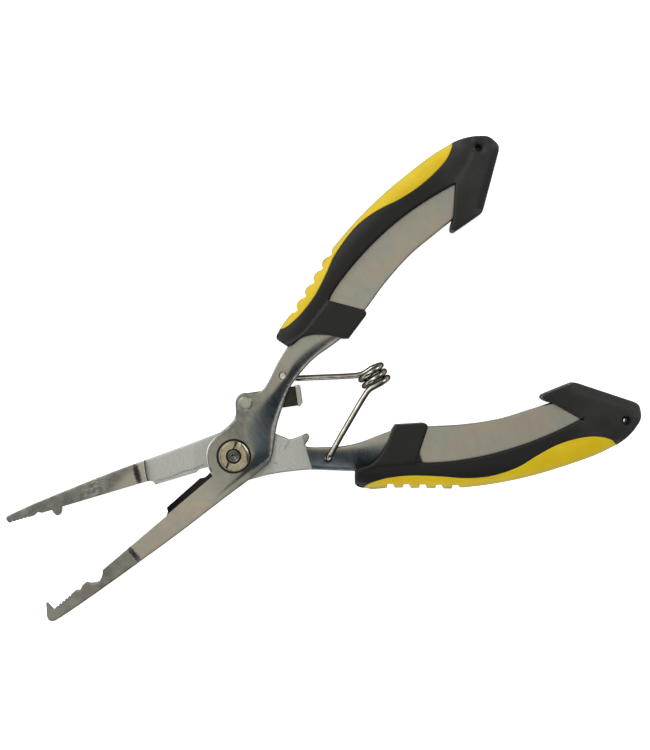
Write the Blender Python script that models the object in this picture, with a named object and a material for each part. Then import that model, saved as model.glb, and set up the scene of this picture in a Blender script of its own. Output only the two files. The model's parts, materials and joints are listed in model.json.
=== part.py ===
"""Fishing pliers: two half-lap steel levers with moulded grips, a slotted pivot nut,
a riveted hook latch and a coiled wire spring that pushes the handles apart.

Frame: the origin is the centre of the pivot bolt's flat back face, on which the pliers lie.
+X runs from the jaws to the handles along the line the pliers close on, +Y points to the upper
handle and +Z out of the front face. Sizes are in millimetres and become metres in mm().

Each lever is drawn closed, about a pivot at (0, 0) with its inner jaw edge along y = 0, and is
swung open by half of OPENING. The lower lever is drawn as if it lay on the upper side as well,
and Side.point() turns it over to its own side of the X axis.
"""
import math

import bmesh
import bpy
from mathutils import Matrix, Vector
from mathutils.geometry import interpolate_bezier

# Driving dimensions, in millimetres and degrees
OPENING = 23.7            # angle between the levers at rest
MID_Z = 5.2               # height of the mid-plane between the two levers
LEVER_HALF = 2.5          # half of a lever's thickness
LAP_GAP = 0.15            # each half-lap face stands this far off the mid-plane
GRIP_HALF = 5.2           # half of a grip's thickness
CLEARANCE = 0.3           # gap between pieces that lie against each other
THIN_GAP = 0.15           # gap between stacked washers, nut and heads
RUN_STEPS = 5             # points added along each span of a smooth outline

JAW_TIP_HALF = 1.9        # half thickness of the thinned jaw tips
SHORT_RAMP = (-38.7, -39.9)    # each jaw's outer face steps down between these places
LONG_RAMP = (-26.7, -28.4)     # and its face towards the other lever between these
LAP_RADIUS = 25.3         # the half-lap ends on this arc towards the jaws
LOWER_LAP_END = 20.1      # the lower lever's half-lap ends here on its arm
CUTTER_FROM = -25.1       # the side cutters run between these places
CUTTER_TO = -8.15

TOOTH_PITCH = 1.1
UPPER_TOOTH_DEPTH = 0.55
LOWER_TOOTH_DEPTH = 0.25  # the lower jaw's teeth are worn almost flat
TOOTH_COUNT = 5
FIRST_TOOTH = -60.3
LAST_TOOTH = FIRST_TOOTH - TOOTH_COUNT * TOOTH_PITCH

PIVOT_BORE = 2.8
PIVOT_SHANK = 2.5
PIVOT_HEAD = 5.0
STUD = 2.0
SPOT_FACE = 4.95          # radius of the nut's seat in the upper lever
SPOT_FACE_Z = 1.2
NUT = 4.6
NUT_BORE = 2.3
NUT_Z = (1.9, 3.3)
NUT_SLOT = 1.2
NUT_SLOT_TURN = -59.0     # where the slot came to rest when the nut was tightened

RIVET = (12.1, 9.3)       # latch rivet, on the upper lever
RIVET_SHANK = 1.3
RIVET_BORE = 1.6
LATCH_Z = (-4.0, -2.8)
LATCH_EYE = 2.9
LATCH_ANGLE = -32.0       # direction of the latch from its rivet, on the closed upper lever
LATCH_REACH = 14.6        # from the rivet to the inner face of the hook tab
TAB_THICK = 1.4
TAB_HALF = 3.0
TAB_TOP = 1.6

WIRE = 0.7                # radius of the spring wire
SPRING_HOLE = 1.0
UPPER_HOLE = (25.2, 8.4)
LOWER_HOLE = (25.3, 8.2)
COIL_CENTRE = (45.3, 0.9)
COIL_RADIUS = 3.5
COIL_PITCH = 2.0
COIL_FIRST_LOOP = 2.9     # the coil's first outer loop lies this far up the Y axis
COIL_START = -80.0        # the coil runs from behind the upper arm round to the lower arm
COIL_END = 800.0

LANYARD_HOLE = (109.4, 21.9)
LANYARD_RADIUS = 1.6

RIB_FIRST = 39.2          # ribs of the thumb insert: first groove, pitch, width and depth
RIB_PITCH = 4.36
RIB_WIDTH = 1.65
RIB_COUNT = 5
RIB_DEPTH = 0.95


def mm(value):
    """Millimetres to metres."""
    return value * 0.001


def smooth(points):
    """A smooth curve through the points: Bezier spans whose handles follow the neighbours."""
    knots = [Vector((x, y, 0.0)) for x, y in points]
    if len(knots) == 2:
        return knots
    slopes = []
    for index, knot in enumerate(knots):
        before = knots[max(index - 1, 0)]
        after = knots[min(index + 1, len(knots) - 1)]
        slopes.append((after - before).normalized())
    curve = [knots[0]]
    for index in range(len(knots) - 1):
        start, end = knots[index], knots[index + 1]
        third = (end - start).length / 3
        span = interpolate_bezier(start, start + slopes[index] * third,
                                  end - slopes[index + 1] * third, end, RUN_STEPS)
        curve.extend(span[1:])
    return curve


def outline(*runs):
    """One closed loop of runs. Each run is a smooth curve, and runs meet at corners."""
    loop = []
    for run in runs:
        for point in smooth(run):
            if not loop or (point - loop[-1]).length > 0.02:
                loop.append(point)
    if (loop[0] - loop[-1]).length < 0.02:
        loop.pop()
    return loop


def grown(loop, distance):
    """The counter-clockwise loop, moved outwards by a distance."""
    moved = []
    for index, point in enumerate(loop):
        before = loop[index - 1]
        after = loop[(index + 1) % len(loop)]
        along = (after - before).normalized()
        moved.append(point + Vector((along.y, -along.x, 0.0)) * distance)
    return moved


def circle(centre, radius, count=32):
    """A round loop about a centre."""
    turns = [2 * math.pi * index / count for index in range(count)]
    return [Vector((centre[0] + radius * math.cos(a), centre[1] + radius * math.sin(a), 0.0))
            for a in turns]


class Side:
    """One lever's side of the pliers: its empty on the pivot, and whether it is turned over."""

    def __init__(self, name, swing, flip):
        self.flip = flip
        self.empty = bpy.data.objects.new(name, None)
        self.empty.location = (0.0, 0.0, mm(MID_Z))
        self.empty.rotation_euler = (0.0, 0.0, math.radians(swing))
        bpy.context.scene.collection.objects.link(self.empty)

    def point(self, x, y, z):
        """A point of the closed lever, in metres, on this side."""
        return Vector((mm(x), mm(y) * self.flip, mm(z)))


def material(name, colour, metallic, roughness):
    """A plain Principled material."""
    new = bpy.data.materials.new(name)
    new.use_nodes = True
    shader = new.node_tree.nodes["Principled BSDF"]
    shader.inputs["Base Color"].default_value = (*colour, 1.0)
    shader.inputs["Metallic"].default_value = metallic
    shader.inputs["Roughness"].default_value = roughness
    return new


def add_object(name, mesh_data, parent, origin=(0.0, 0.0, 0.0)):
    """Finish a bmesh as a named object whose origin lies at a point of its parent's frame."""
    bmesh.ops.translate(mesh_data, verts=mesh_data.verts, vec=-Vector(origin))
    bmesh.ops.recalc_face_normals(mesh_data, faces=mesh_data.faces)
    mesh = bpy.data.meshes.new(name)
    mesh_data.to_mesh(mesh)
    mesh_data.free()
    new = bpy.data.objects.new(name, mesh)
    new.parent = parent
    new.location = origin
    bpy.context.scene.collection.objects.link(new)
    return new


def prism(name, side, loop, low, high, origin=(0.0, 0.0, 0.0)):
    """A plate with the loop's outline, between two heights from the mid-plane."""
    mesh_data = bmesh.new()
    verts = [mesh_data.verts.new(side.point(p.x, p.y, low)) for p in loop]
    face = mesh_data.faces.new(verts)
    wall = bmesh.ops.extrude_face_region(mesh_data, geom=[face])
    top = [item for item in wall["geom"] if isinstance(item, bmesh.types.BMVert)]
    bmesh.ops.translate(mesh_data, verts=top, vec=(0.0, 0.0, mm(high - low)))
    return add_object(name, mesh_data, side.empty, origin)


def bar(name, side, section, start, end, across):
    """A straight bar. across "Y" takes an (x, z) section, across "X" takes a (y, z) section."""
    mesh_data = bmesh.new()
    rings = []
    for along in (start, end):
        if across == "Y":
            ring = [side.point(u, along, v) for u, v in section]
        else:
            ring = [side.point(along, u, v) for u, v in section]
        rings.append([mesh_data.verts.new(p) for p in ring])
    mesh_data.faces.new(rings[0])
    mesh_data.faces.new(rings[1])
    count = len(section)
    for index in range(count):
        after = (index + 1) % count
        mesh_data.faces.new((rings[0][index], rings[0][after], rings[1][after], rings[1][index]))
    return add_object(name, mesh_data, side.empty)


def turned(name, parent, centre, profile, segments=40, closed=False):
    """A piece turned about Z through a centre. The profile holds (radius, height) pairs."""
    mesh_data = bmesh.new()
    rings = []
    for radius, height in profile:
        if radius == 0:
            rings.append([mesh_data.verts.new((0.0, 0.0, mm(height)))])
            continue
        ring = []
        for index in range(segments):
            angle = 2 * math.pi * index / segments
            ring.append(mesh_data.verts.new(
                (mm(radius * math.cos(angle)), mm(radius * math.sin(angle)), mm(height))))
        rings.append(ring)
    pairs = list(zip(rings, rings[1:]))
    if closed:
        pairs.append((rings[-1], rings[0]))
    for first, second in pairs:
        for index in range(segments):
            after = (index + 1) % segments
            corners = [first[index % len(first)], first[after % len(first)],
                       second[after % len(second)], second[index % len(second)]]
            mesh_data.faces.new(dict.fromkeys(corners))
    new = add_object(name, mesh_data, parent)
    new.location = centre
    return shade_smooth(new)


def shade_smooth(target, angle=35.0):
    """Smooth shading that keeps edges sharper than an angle."""
    target.data.shade_smooth()
    target.data.set_sharp_from_angle(angle=math.radians(angle))
    return target


def combine(target, tool, operation="DIFFERENCE"):
    """Cut, join or intersect a piece with a guide, which stays hidden."""
    modifier = target.modifiers.new(tool.name, "BOOLEAN")
    modifier.operation = operation
    modifier.solver = "EXACT"
    modifier.object = tool
    tool.hide_render = True
    tool.display_type = "WIRE"


def teeth(depth):
    """The row of gripping teeth near the jaw tip, on the jaw's inner edge."""
    row = []
    for index in range(TOOTH_COUNT):
        crest = FIRST_TOOTH - index * TOOTH_PITCH
        root = crest - TOOTH_PITCH * 0.45
        row.append([(crest, 0.0), (root, -depth)])
        row.append([(root, -depth), (crest - TOOTH_PITCH, 0.0)])
    return row


# The tang and its end are the same on both levers; the grips hide its outer edge and its end.
TANG_INNER = [(35.0, 6.45), (42.0, 5.95), (46.0, 5.85), (50.0, 6.35), (55.2, 7.6), (65.0, 9.9),
              (75.0, 11.25), (85.0, 11.2), (92.0, 11.2), (98.0, 12.6), (102.5, 14.8)]
TANG_END = [(102.5, 14.8), (104.4, 17.0), (102.8, 18.9)]
TANG_OUTER = [(102.8, 18.9), (95.0, 20.6), (85.0, 22.2), (75.0, 22.8), (65.0, 22.2), (55.0, 20.1),
              (46.0, 17.6), (38.0, 15.4), (31.6, 13.85)]
PIVOT_DISC = [(0.0, 7.7), (-3.0, 7.15), (-5.2, 5.8), (-6.9, 3.6), (-7.9, 1.6), (-8.0, 0.9)]
ARM_INNER = [(6.6, -7.75), (8.0, -7.0), (9.8, -5.6), (12.7, -3.0), (15.5, -0.75)]


def upper_lever_outline():
    """The upper lever: hooked jaw, side cutter, pivot disc, latch boss and tang."""
    return outline(
        [(-67.2, 2.6), (-68.1, 1.3), (-69.2, -0.1), (-69.7, -1.4), (-69.3, -2.3), (-68.4, -2.9)],
        [(-68.4, -2.9), (-65.0, -3.35), (-55.0, -4.35), (-40.0, -5.55), (-25.0, -6.6),
         (-10.0, -7.3), (-2.3, -7.75), (4.0, -7.95)] + ARM_INNER
        + [(19.1, 1.6), (24.5, 4.55), (28.8, 5.65)] + TANG_INNER,
        TANG_END,
        TANG_OUTER + [(26.0, 11.95), (20.6, 9.6), (17.6, 9.1), (15.0, 10.6), (13.7, 11.8),
                      (12.2, 12.25), (10.4, 11.5), (8.6, 9.3), (7.0, 8.0), (4.5, 7.6), (0.0, 7.7)],
        PIVOT_DISC,
        [(-8.0, 0.9), (-9.2, 0.72), (-10.4, 0.85), (-11.4, 1.45)],
        [(-11.4, 1.45), (-23.9, 1.2)],
        [(-23.9, 1.2), (-24.4, 0.1), (-25.4, -0.5)],
        [(-25.4, -0.5), (-49.0, -0.55)],
        [(-49.0, -0.55), (-50.0, -1.6), (-52.0, -2.3), (-54.0, -1.35), (-55.0, -0.15)],
        [(-55.0, -0.15), (-56.3, -0.2), (-57.5, -0.8), (-58.8, 0.0)],
        [(-58.8, 0.0), (FIRST_TOOTH, 0.0)],
        *teeth(UPPER_TOOTH_DEPTH),
        [(LAST_TOOTH, 0.0), (-66.5, -0.35), (-67.1, 0.1)],
        [(-67.1, 0.1), (-67.2, 2.6)],
    )


def lower_lever_outline():
    """The lower lever: blunt jaw with a peg, side cutter, pivot disc, latch tooth and tang."""
    return outline(
        [(-66.0, 0.0), (-66.5, -0.8), (-66.6, -1.6), (-66.0, -2.05)],
        [(-66.0, -2.05), (-60.0, -3.0), (-50.0, -4.05), (-36.0, -5.35), (-20.0, -6.35),
         (-10.0, -6.95), (-2.3, -7.5), (4.0, -7.9)] + ARM_INNER[:-1] + [(15.0, -1.15), (16.4, 0.0)],
        [(16.4, 0.0), (18.0, 0.0), (20.0, -0.2), (21.1, -0.4), (21.75, -0.1), (22.0, 0.7),
         (21.5, 1.5), (20.2, 2.6)],
        [(20.2, 2.6), (20.4, 3.2), (22.0, 3.95), (25.0, 4.8), (29.4, 5.9)] + TANG_INNER,
        TANG_END,
        TANG_OUTER + [(26.0, 12.0), (20.0, 10.0), (14.0, 8.75), (8.0, 7.9), (4.0, 7.75),
                      (0.0, 7.7)],
        PIVOT_DISC,
        [(-8.0, 0.9), (-9.6, 0.8), (-10.9, 0.95), (-11.4, 1.4)],
        [(-11.4, 1.4), (-23.6, 1.4)],
        [(-23.6, 1.4), (-24.1, 0.35), (-25.4, -0.2)],
        [(-25.4, -0.2), (-50.9, -0.15)],
        [(-50.9, -0.15), (-51.3, 1.1), (-52.2, 1.9), (-53.1, 1.1), (-53.5, -0.1)],
        [(-53.5, -0.1), (-56.4, -0.1)],
        [(-56.4, -0.1), (-57.7, -0.6), (-59.0, 0.0)],
        [(-59.0, 0.0), (FIRST_TOOTH, 0.0)],
        *teeth(LOWER_TOOTH_DEPTH),
        [(LAST_TOOTH, 0.0), (-66.0, 0.0)],
    )


def lap_cutter(name, side, arm_end, low, high):
    """The half-lap: everything between an arc about the pivot and a line across the arm."""
    reach = 14.0
    start = math.pi - math.asin(reach / LAP_RADIUS)
    end = math.pi + math.asin(reach / LAP_RADIUS)
    steps = 10
    arc = []
    for index in range(steps + 1):
        angle = start + (end - start) * index / steps
        arc.append(Vector((LAP_RADIUS * math.cos(angle), LAP_RADIUS * math.sin(angle), 0.0)))
    far_side = [Vector((x, y, 0.0)) for x, y in arm_end]
    return prism(name, side, arc + far_side, low, high)


def thin_tip(target, side, facing, ramp):
    """Take one face of a jaw down towards the tip, with a ramp. facing is 1 for the front."""
    beyond = -80.0
    section = [(beyond, JAW_TIP_HALF * facing), (ramp[1], JAW_TIP_HALF * facing),
               (ramp[0], LEVER_HALF * facing), (ramp[0], 4.0 * facing), (beyond, 4.0 * facing)]
    name = "{}_tip_{}".format(target.name, "front" if facing > 0 else "back")
    combine(target, bar(name, side, section, -12.0, 12.0, "Y"))


def cutter_bevel(target, side, facing):
    """Grind the side cutter's edge: a steep bevel down to the half-lap face."""
    section = [(-0.45, LEVER_HALF * facing), (1.7, 0.3 * facing), (3.0, 0.3 * facing),
               (3.0, 4.0 * facing), (-0.45, 4.0 * facing)]
    combine(target, bar(target.name + "_bevel", side, section, CUTTER_FROM, CUTTER_TO, "X"))


def upper_lever(side, steel):
    """The lever in front at the pivot: its back half is milled away around the joint."""
    lever = prism("upper_lever", side, upper_lever_outline(), -LEVER_HALF, LEVER_HALF)
    lever.data.materials.append(steel)
    arm_end = [(18.0, -14.0), (18.0, -0.6), (8.3, 7.7), (8.3, 14.0)]
    combine(lever, lap_cutter("upper_lap", side, arm_end, -LEVER_HALF - 1, LAP_GAP))
    thin_tip(lever, side, 1.0, SHORT_RAMP)
    thin_tip(lever, side, -1.0, LONG_RAMP)
    cutter_bevel(lever, side, 1.0)
    seat = prism("nut_seat", side, circle((0, 0), SPOT_FACE, 40), SPOT_FACE_Z, LEVER_HALF + 1)
    combine(lever, seat)
    for name, centre, radius in (("upper_pivot_bore", (0, 0), PIVOT_BORE),
                                 ("rivet_bore", RIVET, RIVET_BORE),
                                 ("upper_spring_bore", UPPER_HOLE, SPRING_HOLE)):
        bore = prism(name, side, circle(centre, radius, 24), -LEVER_HALF - 1, LEVER_HALF + 1)
        combine(lever, bore)
    return lever


def lower_lever(side, steel):
    """The lever behind at the pivot: its front half is milled away around the joint."""
    lever = prism("lower_lever", side, lower_lever_outline(), -LEVER_HALF, LEVER_HALF)
    lever.data.materials.append(steel)
    arm_end = [(LOWER_LAP_END, -14.0), (LOWER_LAP_END, 14.0)]
    combine(lever, lap_cutter("lower_lap", side, arm_end, -LAP_GAP, LEVER_HALF + 1))
    thin_tip(lever, side, 1.0, LONG_RAMP)
    thin_tip(lever, side, -1.0, SHORT_RAMP)
    cutter_bevel(lever, side, -1.0)
    for name, centre, radius in (("lower_pivot_bore", (0, 0), PIVOT_BORE),
                                 ("lower_spring_bore", LOWER_HOLE, SPRING_HOLE)):
        bore = prism(name, side, circle(centre, radius, 24), -LEVER_HALF - 1, LEVER_HALF + 1)
        combine(lever, bore)
    return lever


# The grips: a collar across the tang, a band along its outer side and a cap over its end.
COLLAR_FRONT = [(30.5, 17.3), (31.6, 13.7)]
COLLAR_INNER = [(31.6, 13.7), (33.0, 13.2), (36.0, 13.1), (38.8, 11.9), (41.2, 9.95), (43.1, 7.9),
                (44.8, 5.6), (46.2, 4.4)]
COLLAR_FOOT = [(46.2, 4.4), (54.0, 6.2)]
COLLAR_HEEL = [(54.0, 6.2), (54.6, 6.7), (54.7, 7.6)]
COLLAR_REAR = [(54.7, 7.6), (48.8, 16.1)]
CAP_FRONT = [(97.1, 18.2), (90.2, 11.1)]
CAP_TOE = [(90.2, 11.1), (88.7, 10.1), (87.8, 8.9), (88.4, 8.1)]
CAP_FOOT = [(88.4, 8.1), (92.0, 7.7), (97.5, 7.2)]
CAP_SLOPE = [(97.5, 7.2), (98.6, 7.75)]
CAP_REAR = [(98.6, 7.75), (112.3, 17.3)]
CAP_NOSE = [(112.3, 17.3), (113.2, 18.3), (113.4, 19.8), (112.6, 22.4), (110.4, 25.0),
            (107.8, 26.7), (104.2, 27.7)]
GRIP_BACK = [(104.2, 27.7), (98.0, 28.7), (90.0, 29.2), (80.0, 29.3), (70.0, 28.5), (60.0, 27.0),
             (55.8, 25.9), (51.3, 24.7), (47.1, 23.3), (42.8, 21.95), (38.7, 20.7), (33.0, 19.15),
             (30.5, 17.3)]
UPPER_WINDOW = [(48.8, 16.1), (51.0, 17.1), (55.0, 18.2), (61.0, 19.4), (70.0, 20.45),
                (80.0, 20.6), (90.0, 19.55), (97.1, 18.2)]
LOWER_WINDOW = [(48.8, 16.1), (51.0, 16.95), (55.0, 18.0), (61.0, 19.15), (70.0, 20.0),
                (80.0, 19.95), (90.0, 18.95), (97.1, 17.7)]
UPPER_SEAM = [(33.0, 18.5), (34.6, 18.2), (38.0, 18.1), (41.0, 18.4), (47.0, 19.8), (53.0, 22.3),
              (58.0, 24.7), (65.0, 26.6), (70.0, 27.15), (76.0, 26.5), (82.0, 25.0), (88.0, 24.2),
              (94.0, 24.2), (99.5, 25.0), (103.0, 26.9), (104.0, 28.2)]
LOWER_SEAM = [(32.4, 18.6), (34.0, 18.2), (37.0, 18.0), (40.0, 18.1), (46.0, 19.2), (54.0, 21.8),
              (60.0, 24.1), (66.0, 25.6), (71.0, 25.9), (76.0, 25.5), (82.0, 23.9), (88.0, 22.7),
              (94.0, 22.6), (99.0, 23.5), (103.0, 25.6), (104.6, 28.0)]


def insert_region(seam):
    """The insert's outline: its seam with the grip below and the ribbed back above."""
    clear = 4.0
    first, last = seam[0], seam[-1]
    return outline(seam, [last, (last[0], last[1] + clear), (first[0], last[1] + clear),
                          (first[0] - clear / 2, first[1] + clear), first])


def back_height(x):
    """Height of the grip's back at a place along it, between the knots of GRIP_BACK."""
    knots = sorted(GRIP_BACK)
    for (x0, y0), (x1, y1) in zip(knots, knots[1:]):
        if x0 <= x <= x1:
            return y0 + (y1 - y0) * (x - x0) / (x1 - x0)
    return knots[-1][1]


def rib_grooves(side, insert):
    """Cut the grooves between the ribs across the back of an insert."""
    for index in range(RIB_COUNT):
        low = RIB_FIRST + index * RIB_PITCH
        high = low + RIB_WIDTH
        loop = [Vector((low, back_height(low) - RIB_DEPTH, 0.0)),
                Vector((high, back_height(high) - RIB_DEPTH, 0.0)),
                Vector((high, back_height(high) + 3.0, 0.0)),
                Vector((low, back_height(low) + 3.0, 0.0))]
        groove = prism("{}_groove_{}".format(insert.name, index), side, loop,
                       -GRIP_HALF - 1, GRIP_HALF + 1)
        combine(insert, groove)


def grip_blank(name, side, window):
    """The whole grip before the insert is set in: a rounded plate that wraps the tang."""
    loop = outline(COLLAR_FRONT, COLLAR_INNER, COLLAR_FOOT, COLLAR_HEEL, COLLAR_REAR, window,
                   [window[-1]] + CAP_FRONT[1:], CAP_TOE, CAP_FOOT, CAP_SLOPE, CAP_REAR, CAP_NOSE,
                   GRIP_BACK)
    blank = prism(name, side, loop, -GRIP_HALF, GRIP_HALF)
    bevel = blank.modifiers.new("rounded_edges", "BEVEL")
    bevel.width = mm(1.2)
    bevel.segments = 2
    bevel.limit_method = "ANGLE"
    bevel.angle_limit = math.radians(60)
    return blank


def grip(prefix, side, window, seam, plastic, rubber):
    """A grip moulded over the tang, and the soft ribbed insert along its back."""
    body = grip_blank(prefix + "_grip", side, window)
    body.data.materials.append(plastic)
    pocket_loop = grown(outline(TANG_INNER, TANG_END, TANG_OUTER, [TANG_OUTER[-1], (26.0, 12.0)],
                                [(26.0, 12.0), (28.0, 5.6)], [(28.0, 5.6), TANG_INNER[0]]),
                        CLEARANCE)
    pocket = prism(prefix + "_pocket", side, pocket_loop, -LEVER_HALF - CLEARANCE,
                   LEVER_HALF + CLEARANCE)
    combine(body, pocket)
    seat = prism(prefix + "_insert_seat", side, grown(insert_region(seam), CLEARANCE),
                 -GRIP_HALF - 1, GRIP_HALF + 1)
    combine(body, seat)
    lanyard = prism(prefix + "_lanyard", side, circle(LANYARD_HOLE, LANYARD_RADIUS, 24),
                    -GRIP_HALF - 1, GRIP_HALF + 1)
    combine(body, lanyard)

    insert = grip_blank(prefix + "_grip_insert", side, window)
    insert.data.materials.append(rubber)
    region = prism(prefix + "_insert_region", side, insert_region(seam), -GRIP_HALF - 1,
                   GRIP_HALF + 1)
    combine(insert, region, "INTERSECT")
    rib_grooves(side, insert)
    return body, insert


def pivot(side, steel, brass):
    """The pivot bolt from behind, its spring washer and the slotted nut in front."""
    head_back = -MID_Z
    head_front = -LEVER_HALF - THIN_GAP
    shoulder = SPOT_FACE_Z - 0.05
    stud_top = NUT_Z[1] - 0.15
    bolt = turned("pivot_bolt", side.empty, (0, 0, 0),
                  [(0, head_back), (PIVOT_HEAD - 0.8, head_back), (PIVOT_HEAD - 0.2, head_back + 0.5),
                   (PIVOT_HEAD, head_back + 1.2), (PIVOT_HEAD, head_front),
                   (PIVOT_SHANK, head_front), (PIVOT_SHANK, shoulder), (STUD, shoulder),
                   (STUD, stud_top - 0.2), (STUD - 0.2, stud_top), (0, stud_top)])
    bolt.data.materials.append(steel)
    low = SPOT_FACE_Z + THIN_GAP
    washer = turned("pivot_spring_washer", side.empty, (0, 0, 0),
                    [(NUT_BORE + 0.1, low + 0.1), (NUT - 0.3, low), (NUT - 0.3, low + 0.3),
                     (NUT_BORE + 0.1, low + 0.4)], closed=True)
    washer.data.materials.append(steel)
    bottom, top = NUT_Z
    nut = turned("pivot_nut", side.empty, (0, 0, 0),
                 [(NUT_BORE, bottom), (NUT, bottom), (NUT, top - 0.75), (NUT - 0.2, top - 0.3),
                  (NUT - 0.7, top), (NUT_BORE + 0.15, top), (NUT_BORE, top - 0.15)], closed=True)
    nut.data.materials.append(brass)
    half_slot = NUT_SLOT / 2
    slot = bar("nut_slot", side, [(-half_slot, top - 0.7), (half_slot, top - 0.7),
                                  (half_slot, top + 1), (-half_slot, top + 1)], -8.0, 8.0, "Y")
    slot.rotation_euler = (0.0, 0.0, math.radians(NUT_SLOT_TURN))
    combine(nut, slot)


def latch(side, steel):
    """The latch: an eye on the rivet and a plate that ends in an upturned hook tab."""
    direction = math.radians(LATCH_ANGLE)
    turn = Matrix.Rotation(direction, 3, "Z")
    centre = Vector((*RIVET, 0.0))
    origin = side.point(*RIVET, 0.0)

    def placed(points):
        return [centre + turn @ Vector((u, v, 0.0)) for u, v in points]

    outer = LATCH_REACH + TAB_THICK
    eye = []
    steps = 14
    opening = math.radians(75)
    for index in range(steps + 1):
        angle = opening + (2 * math.pi - 2 * opening) * index / steps
        eye.append((LATCH_EYE * math.cos(angle), LATCH_EYE * math.sin(angle)))
    inset = 0.2
    plate_half = TAB_HALF - inset
    plate_loop = eye + [(LATCH_REACH - 0.6, -plate_half), (outer - 1.1, -plate_half),
                        (outer - inset, -plate_half + 1.0), (outer - inset, plate_half - 0.4),
                        (outer - 0.6, plate_half), (LATCH_REACH - 0.6, plate_half)]
    plate = prism("latch", side, placed(plate_loop), LATCH_Z[0], LATCH_Z[1], origin)
    plate.data.materials.append(steel)
    tab_loop = [(LATCH_REACH, -TAB_HALF), (outer - 0.9, -TAB_HALF), (outer, -TAB_HALF + 0.9),
                (outer, TAB_HALF - 0.4), (outer - 0.4, TAB_HALF), (LATCH_REACH, TAB_HALF)]
    tab = prism("latch_tab", side, placed(tab_loop), LATCH_Z[0] + inset, TAB_TOP)
    combine(plate, tab, "UNION")
    bore = prism("latch_bore", side, circle(RIVET, RIVET_BORE, 24), LATCH_Z[0] - 1, LATCH_Z[1] + 1)
    combine(plate, bore)


def latch_rivet(side, steel):
    """The latch's rivet with its low front head, and the spring washer behind the latch."""
    centre = side.point(*RIVET, 0.0)
    back = LATCH_Z[0] - THIN_GAP
    washer = turned("latch_spring_washer", side.empty, centre,
                    [(RIVET_BORE, back - 0.25), (2.7, back - 0.35), (2.7, back - 0.1),
                     (RIVET_BORE, back)], 28, closed=True)
    washer.data.materials.append(steel)
    head = back - 0.5
    front = LEVER_HALF + THIN_GAP
    rivet = turned("latch_rivet", side.empty, centre,
                   [(0, head - 0.45), (1.8, head - 0.35), (2.3, head - 0.1), (2.3, head),
                    (RIVET_SHANK, head), (RIVET_SHANK, front), (2.0, front), (2.0, front + 0.15),
                    (1.7, front + 0.4), (0.9, front + 0.52), (0, front + 0.55)], 28)
    rivet.data.materials.append(steel)


def on_row(side, point):
    """A point of a closed lever as it lies at rest, in millimetres from the pivot."""
    swung = side.empty.matrix_basis @ side.point(*point, 0.0)
    return swung.x * 1000, swung.y * 1000


def wire(name, points, origin, steel):
    """A length of spring wire along points given in millimetres from the pivot."""
    curve = bpy.data.curves.new(name, "CURVE")
    curve.dimensions = "3D"
    curve.bevel_depth = mm(WIRE)
    curve.bevel_resolution = 3
    curve.use_fill_caps = True
    spline = curve.splines.new("POLY")
    spline.points.add(len(points) - 1)
    for target, (x, y, z) in zip(spline.points, points):
        target.co = (mm(x - origin[0]), mm(y - origin[1]), mm(z + MID_Z), 1.0)
    new = bpy.data.objects.new(name, curve)
    new.location = (mm(origin[0]), mm(origin[1]), 0.0)
    curve.materials.append(steel)
    bpy.context.scene.collection.objects.link(new)


def elbow(hole, towards, leg_z, tip_z):
    """The wire's end: up through its hole, round a bend, and off towards a point."""
    bend = 1.3
    facing = 1.0 if leg_z > tip_z else -1.0
    flat = (Vector(towards) - Vector(hole)).normalized()
    path = [(hole[0], hole[1], tip_z)]
    steps = 5
    for index in range(steps + 1):
        angle = math.pi / 2 * index / steps
        out = bend * (1 - math.cos(angle))
        height = leg_z - facing * bend * (1 - math.sin(angle))
        path.append((hole[0] + flat.x * out, hole[1] + flat.y * out, height))
    return path


def spring(upper, lower, steel):
    """One wire in three pieces: the arm in the upper lever, the coil, the arm in the lower."""
    upper_hole = on_row(upper, UPPER_HOLE)
    lower_hole = on_row(lower, LOWER_HOLE)
    upper_leg = [(26.1, 10.9), (31.5, 8.25), (37.0, 5.55), (41.2, 3.6), (42.7, 3.15), (43.8, 3.1)]
    path = elbow(upper_hole, upper_leg[0], -COIL_RADIUS, LEVER_HALF - 0.1)
    path += [(x, y, -COIL_RADIUS) for x, y in upper_leg]
    wire("spring_upper_arm", path, upper_hole, steel)

    steps = 48
    coil = []
    for index in range(steps + 1):
        degrees = COIL_START + (COIL_END - COIL_START) * index / steps
        angle = math.radians(degrees)
        coil.append((COIL_CENTRE[0] + COIL_RADIUS * math.cos(angle),
                     COIL_FIRST_LOOP - COIL_PITCH * degrees / 360,
                     COIL_RADIUS * math.sin(angle)))
    wire("spring_coil", coil, COIL_CENTRE, steel)

    lower_leg = [(29.0, -9.45), (34.0, -6.4), (39.0, -3.35), (41.7, -1.85), (43.0, -1.5)]
    path = elbow(lower_hole, lower_leg[0], COIL_RADIUS, -LEVER_HALF + 0.1)
    path += [(x, y, COIL_RADIUS) for x, y in lower_leg]
    wire("spring_lower_arm", path, COIL_CENTRE, steel)


def main():
    """Build the pliers at rest: the handles held apart by the spring."""
    for old in list(bpy.data.objects):
        bpy.data.objects.remove(old, do_unlink=True)
    steel = material("brushed_steel", (0.36, 0.34, 0.31), 1.0, 0.38)
    spring_steel = material("spring_steel", (0.52, 0.5, 0.47), 1.0, 0.25)
    brass = material("nickel_brass", (0.55, 0.5, 0.33), 1.0, 0.3)
    plastic = material("black_plastic", (0.02, 0.021, 0.022), 0.0, 0.55)
    rubber = material("yellow_rubber", (0.75, 0.56, 0.03), 0.0, 0.5)

    upper = Side("upper_side", OPENING / 2, 1.0)
    lower = Side("lower_side", -OPENING / 2, -1.0)
    upper_lever(upper, steel)
    lower_lever(lower, steel)
    grip("upper", upper, UPPER_WINDOW, UPPER_SEAM, plastic, rubber)
    grip("lower", lower, LOWER_WINDOW, LOWER_SEAM, plastic, rubber)
    pivot(upper, steel, brass)
    latch(upper, steel)
    latch_rivet(upper, steel)
    bpy.context.view_layer.update()
    spring(upper, lower, spring_steel)


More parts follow.
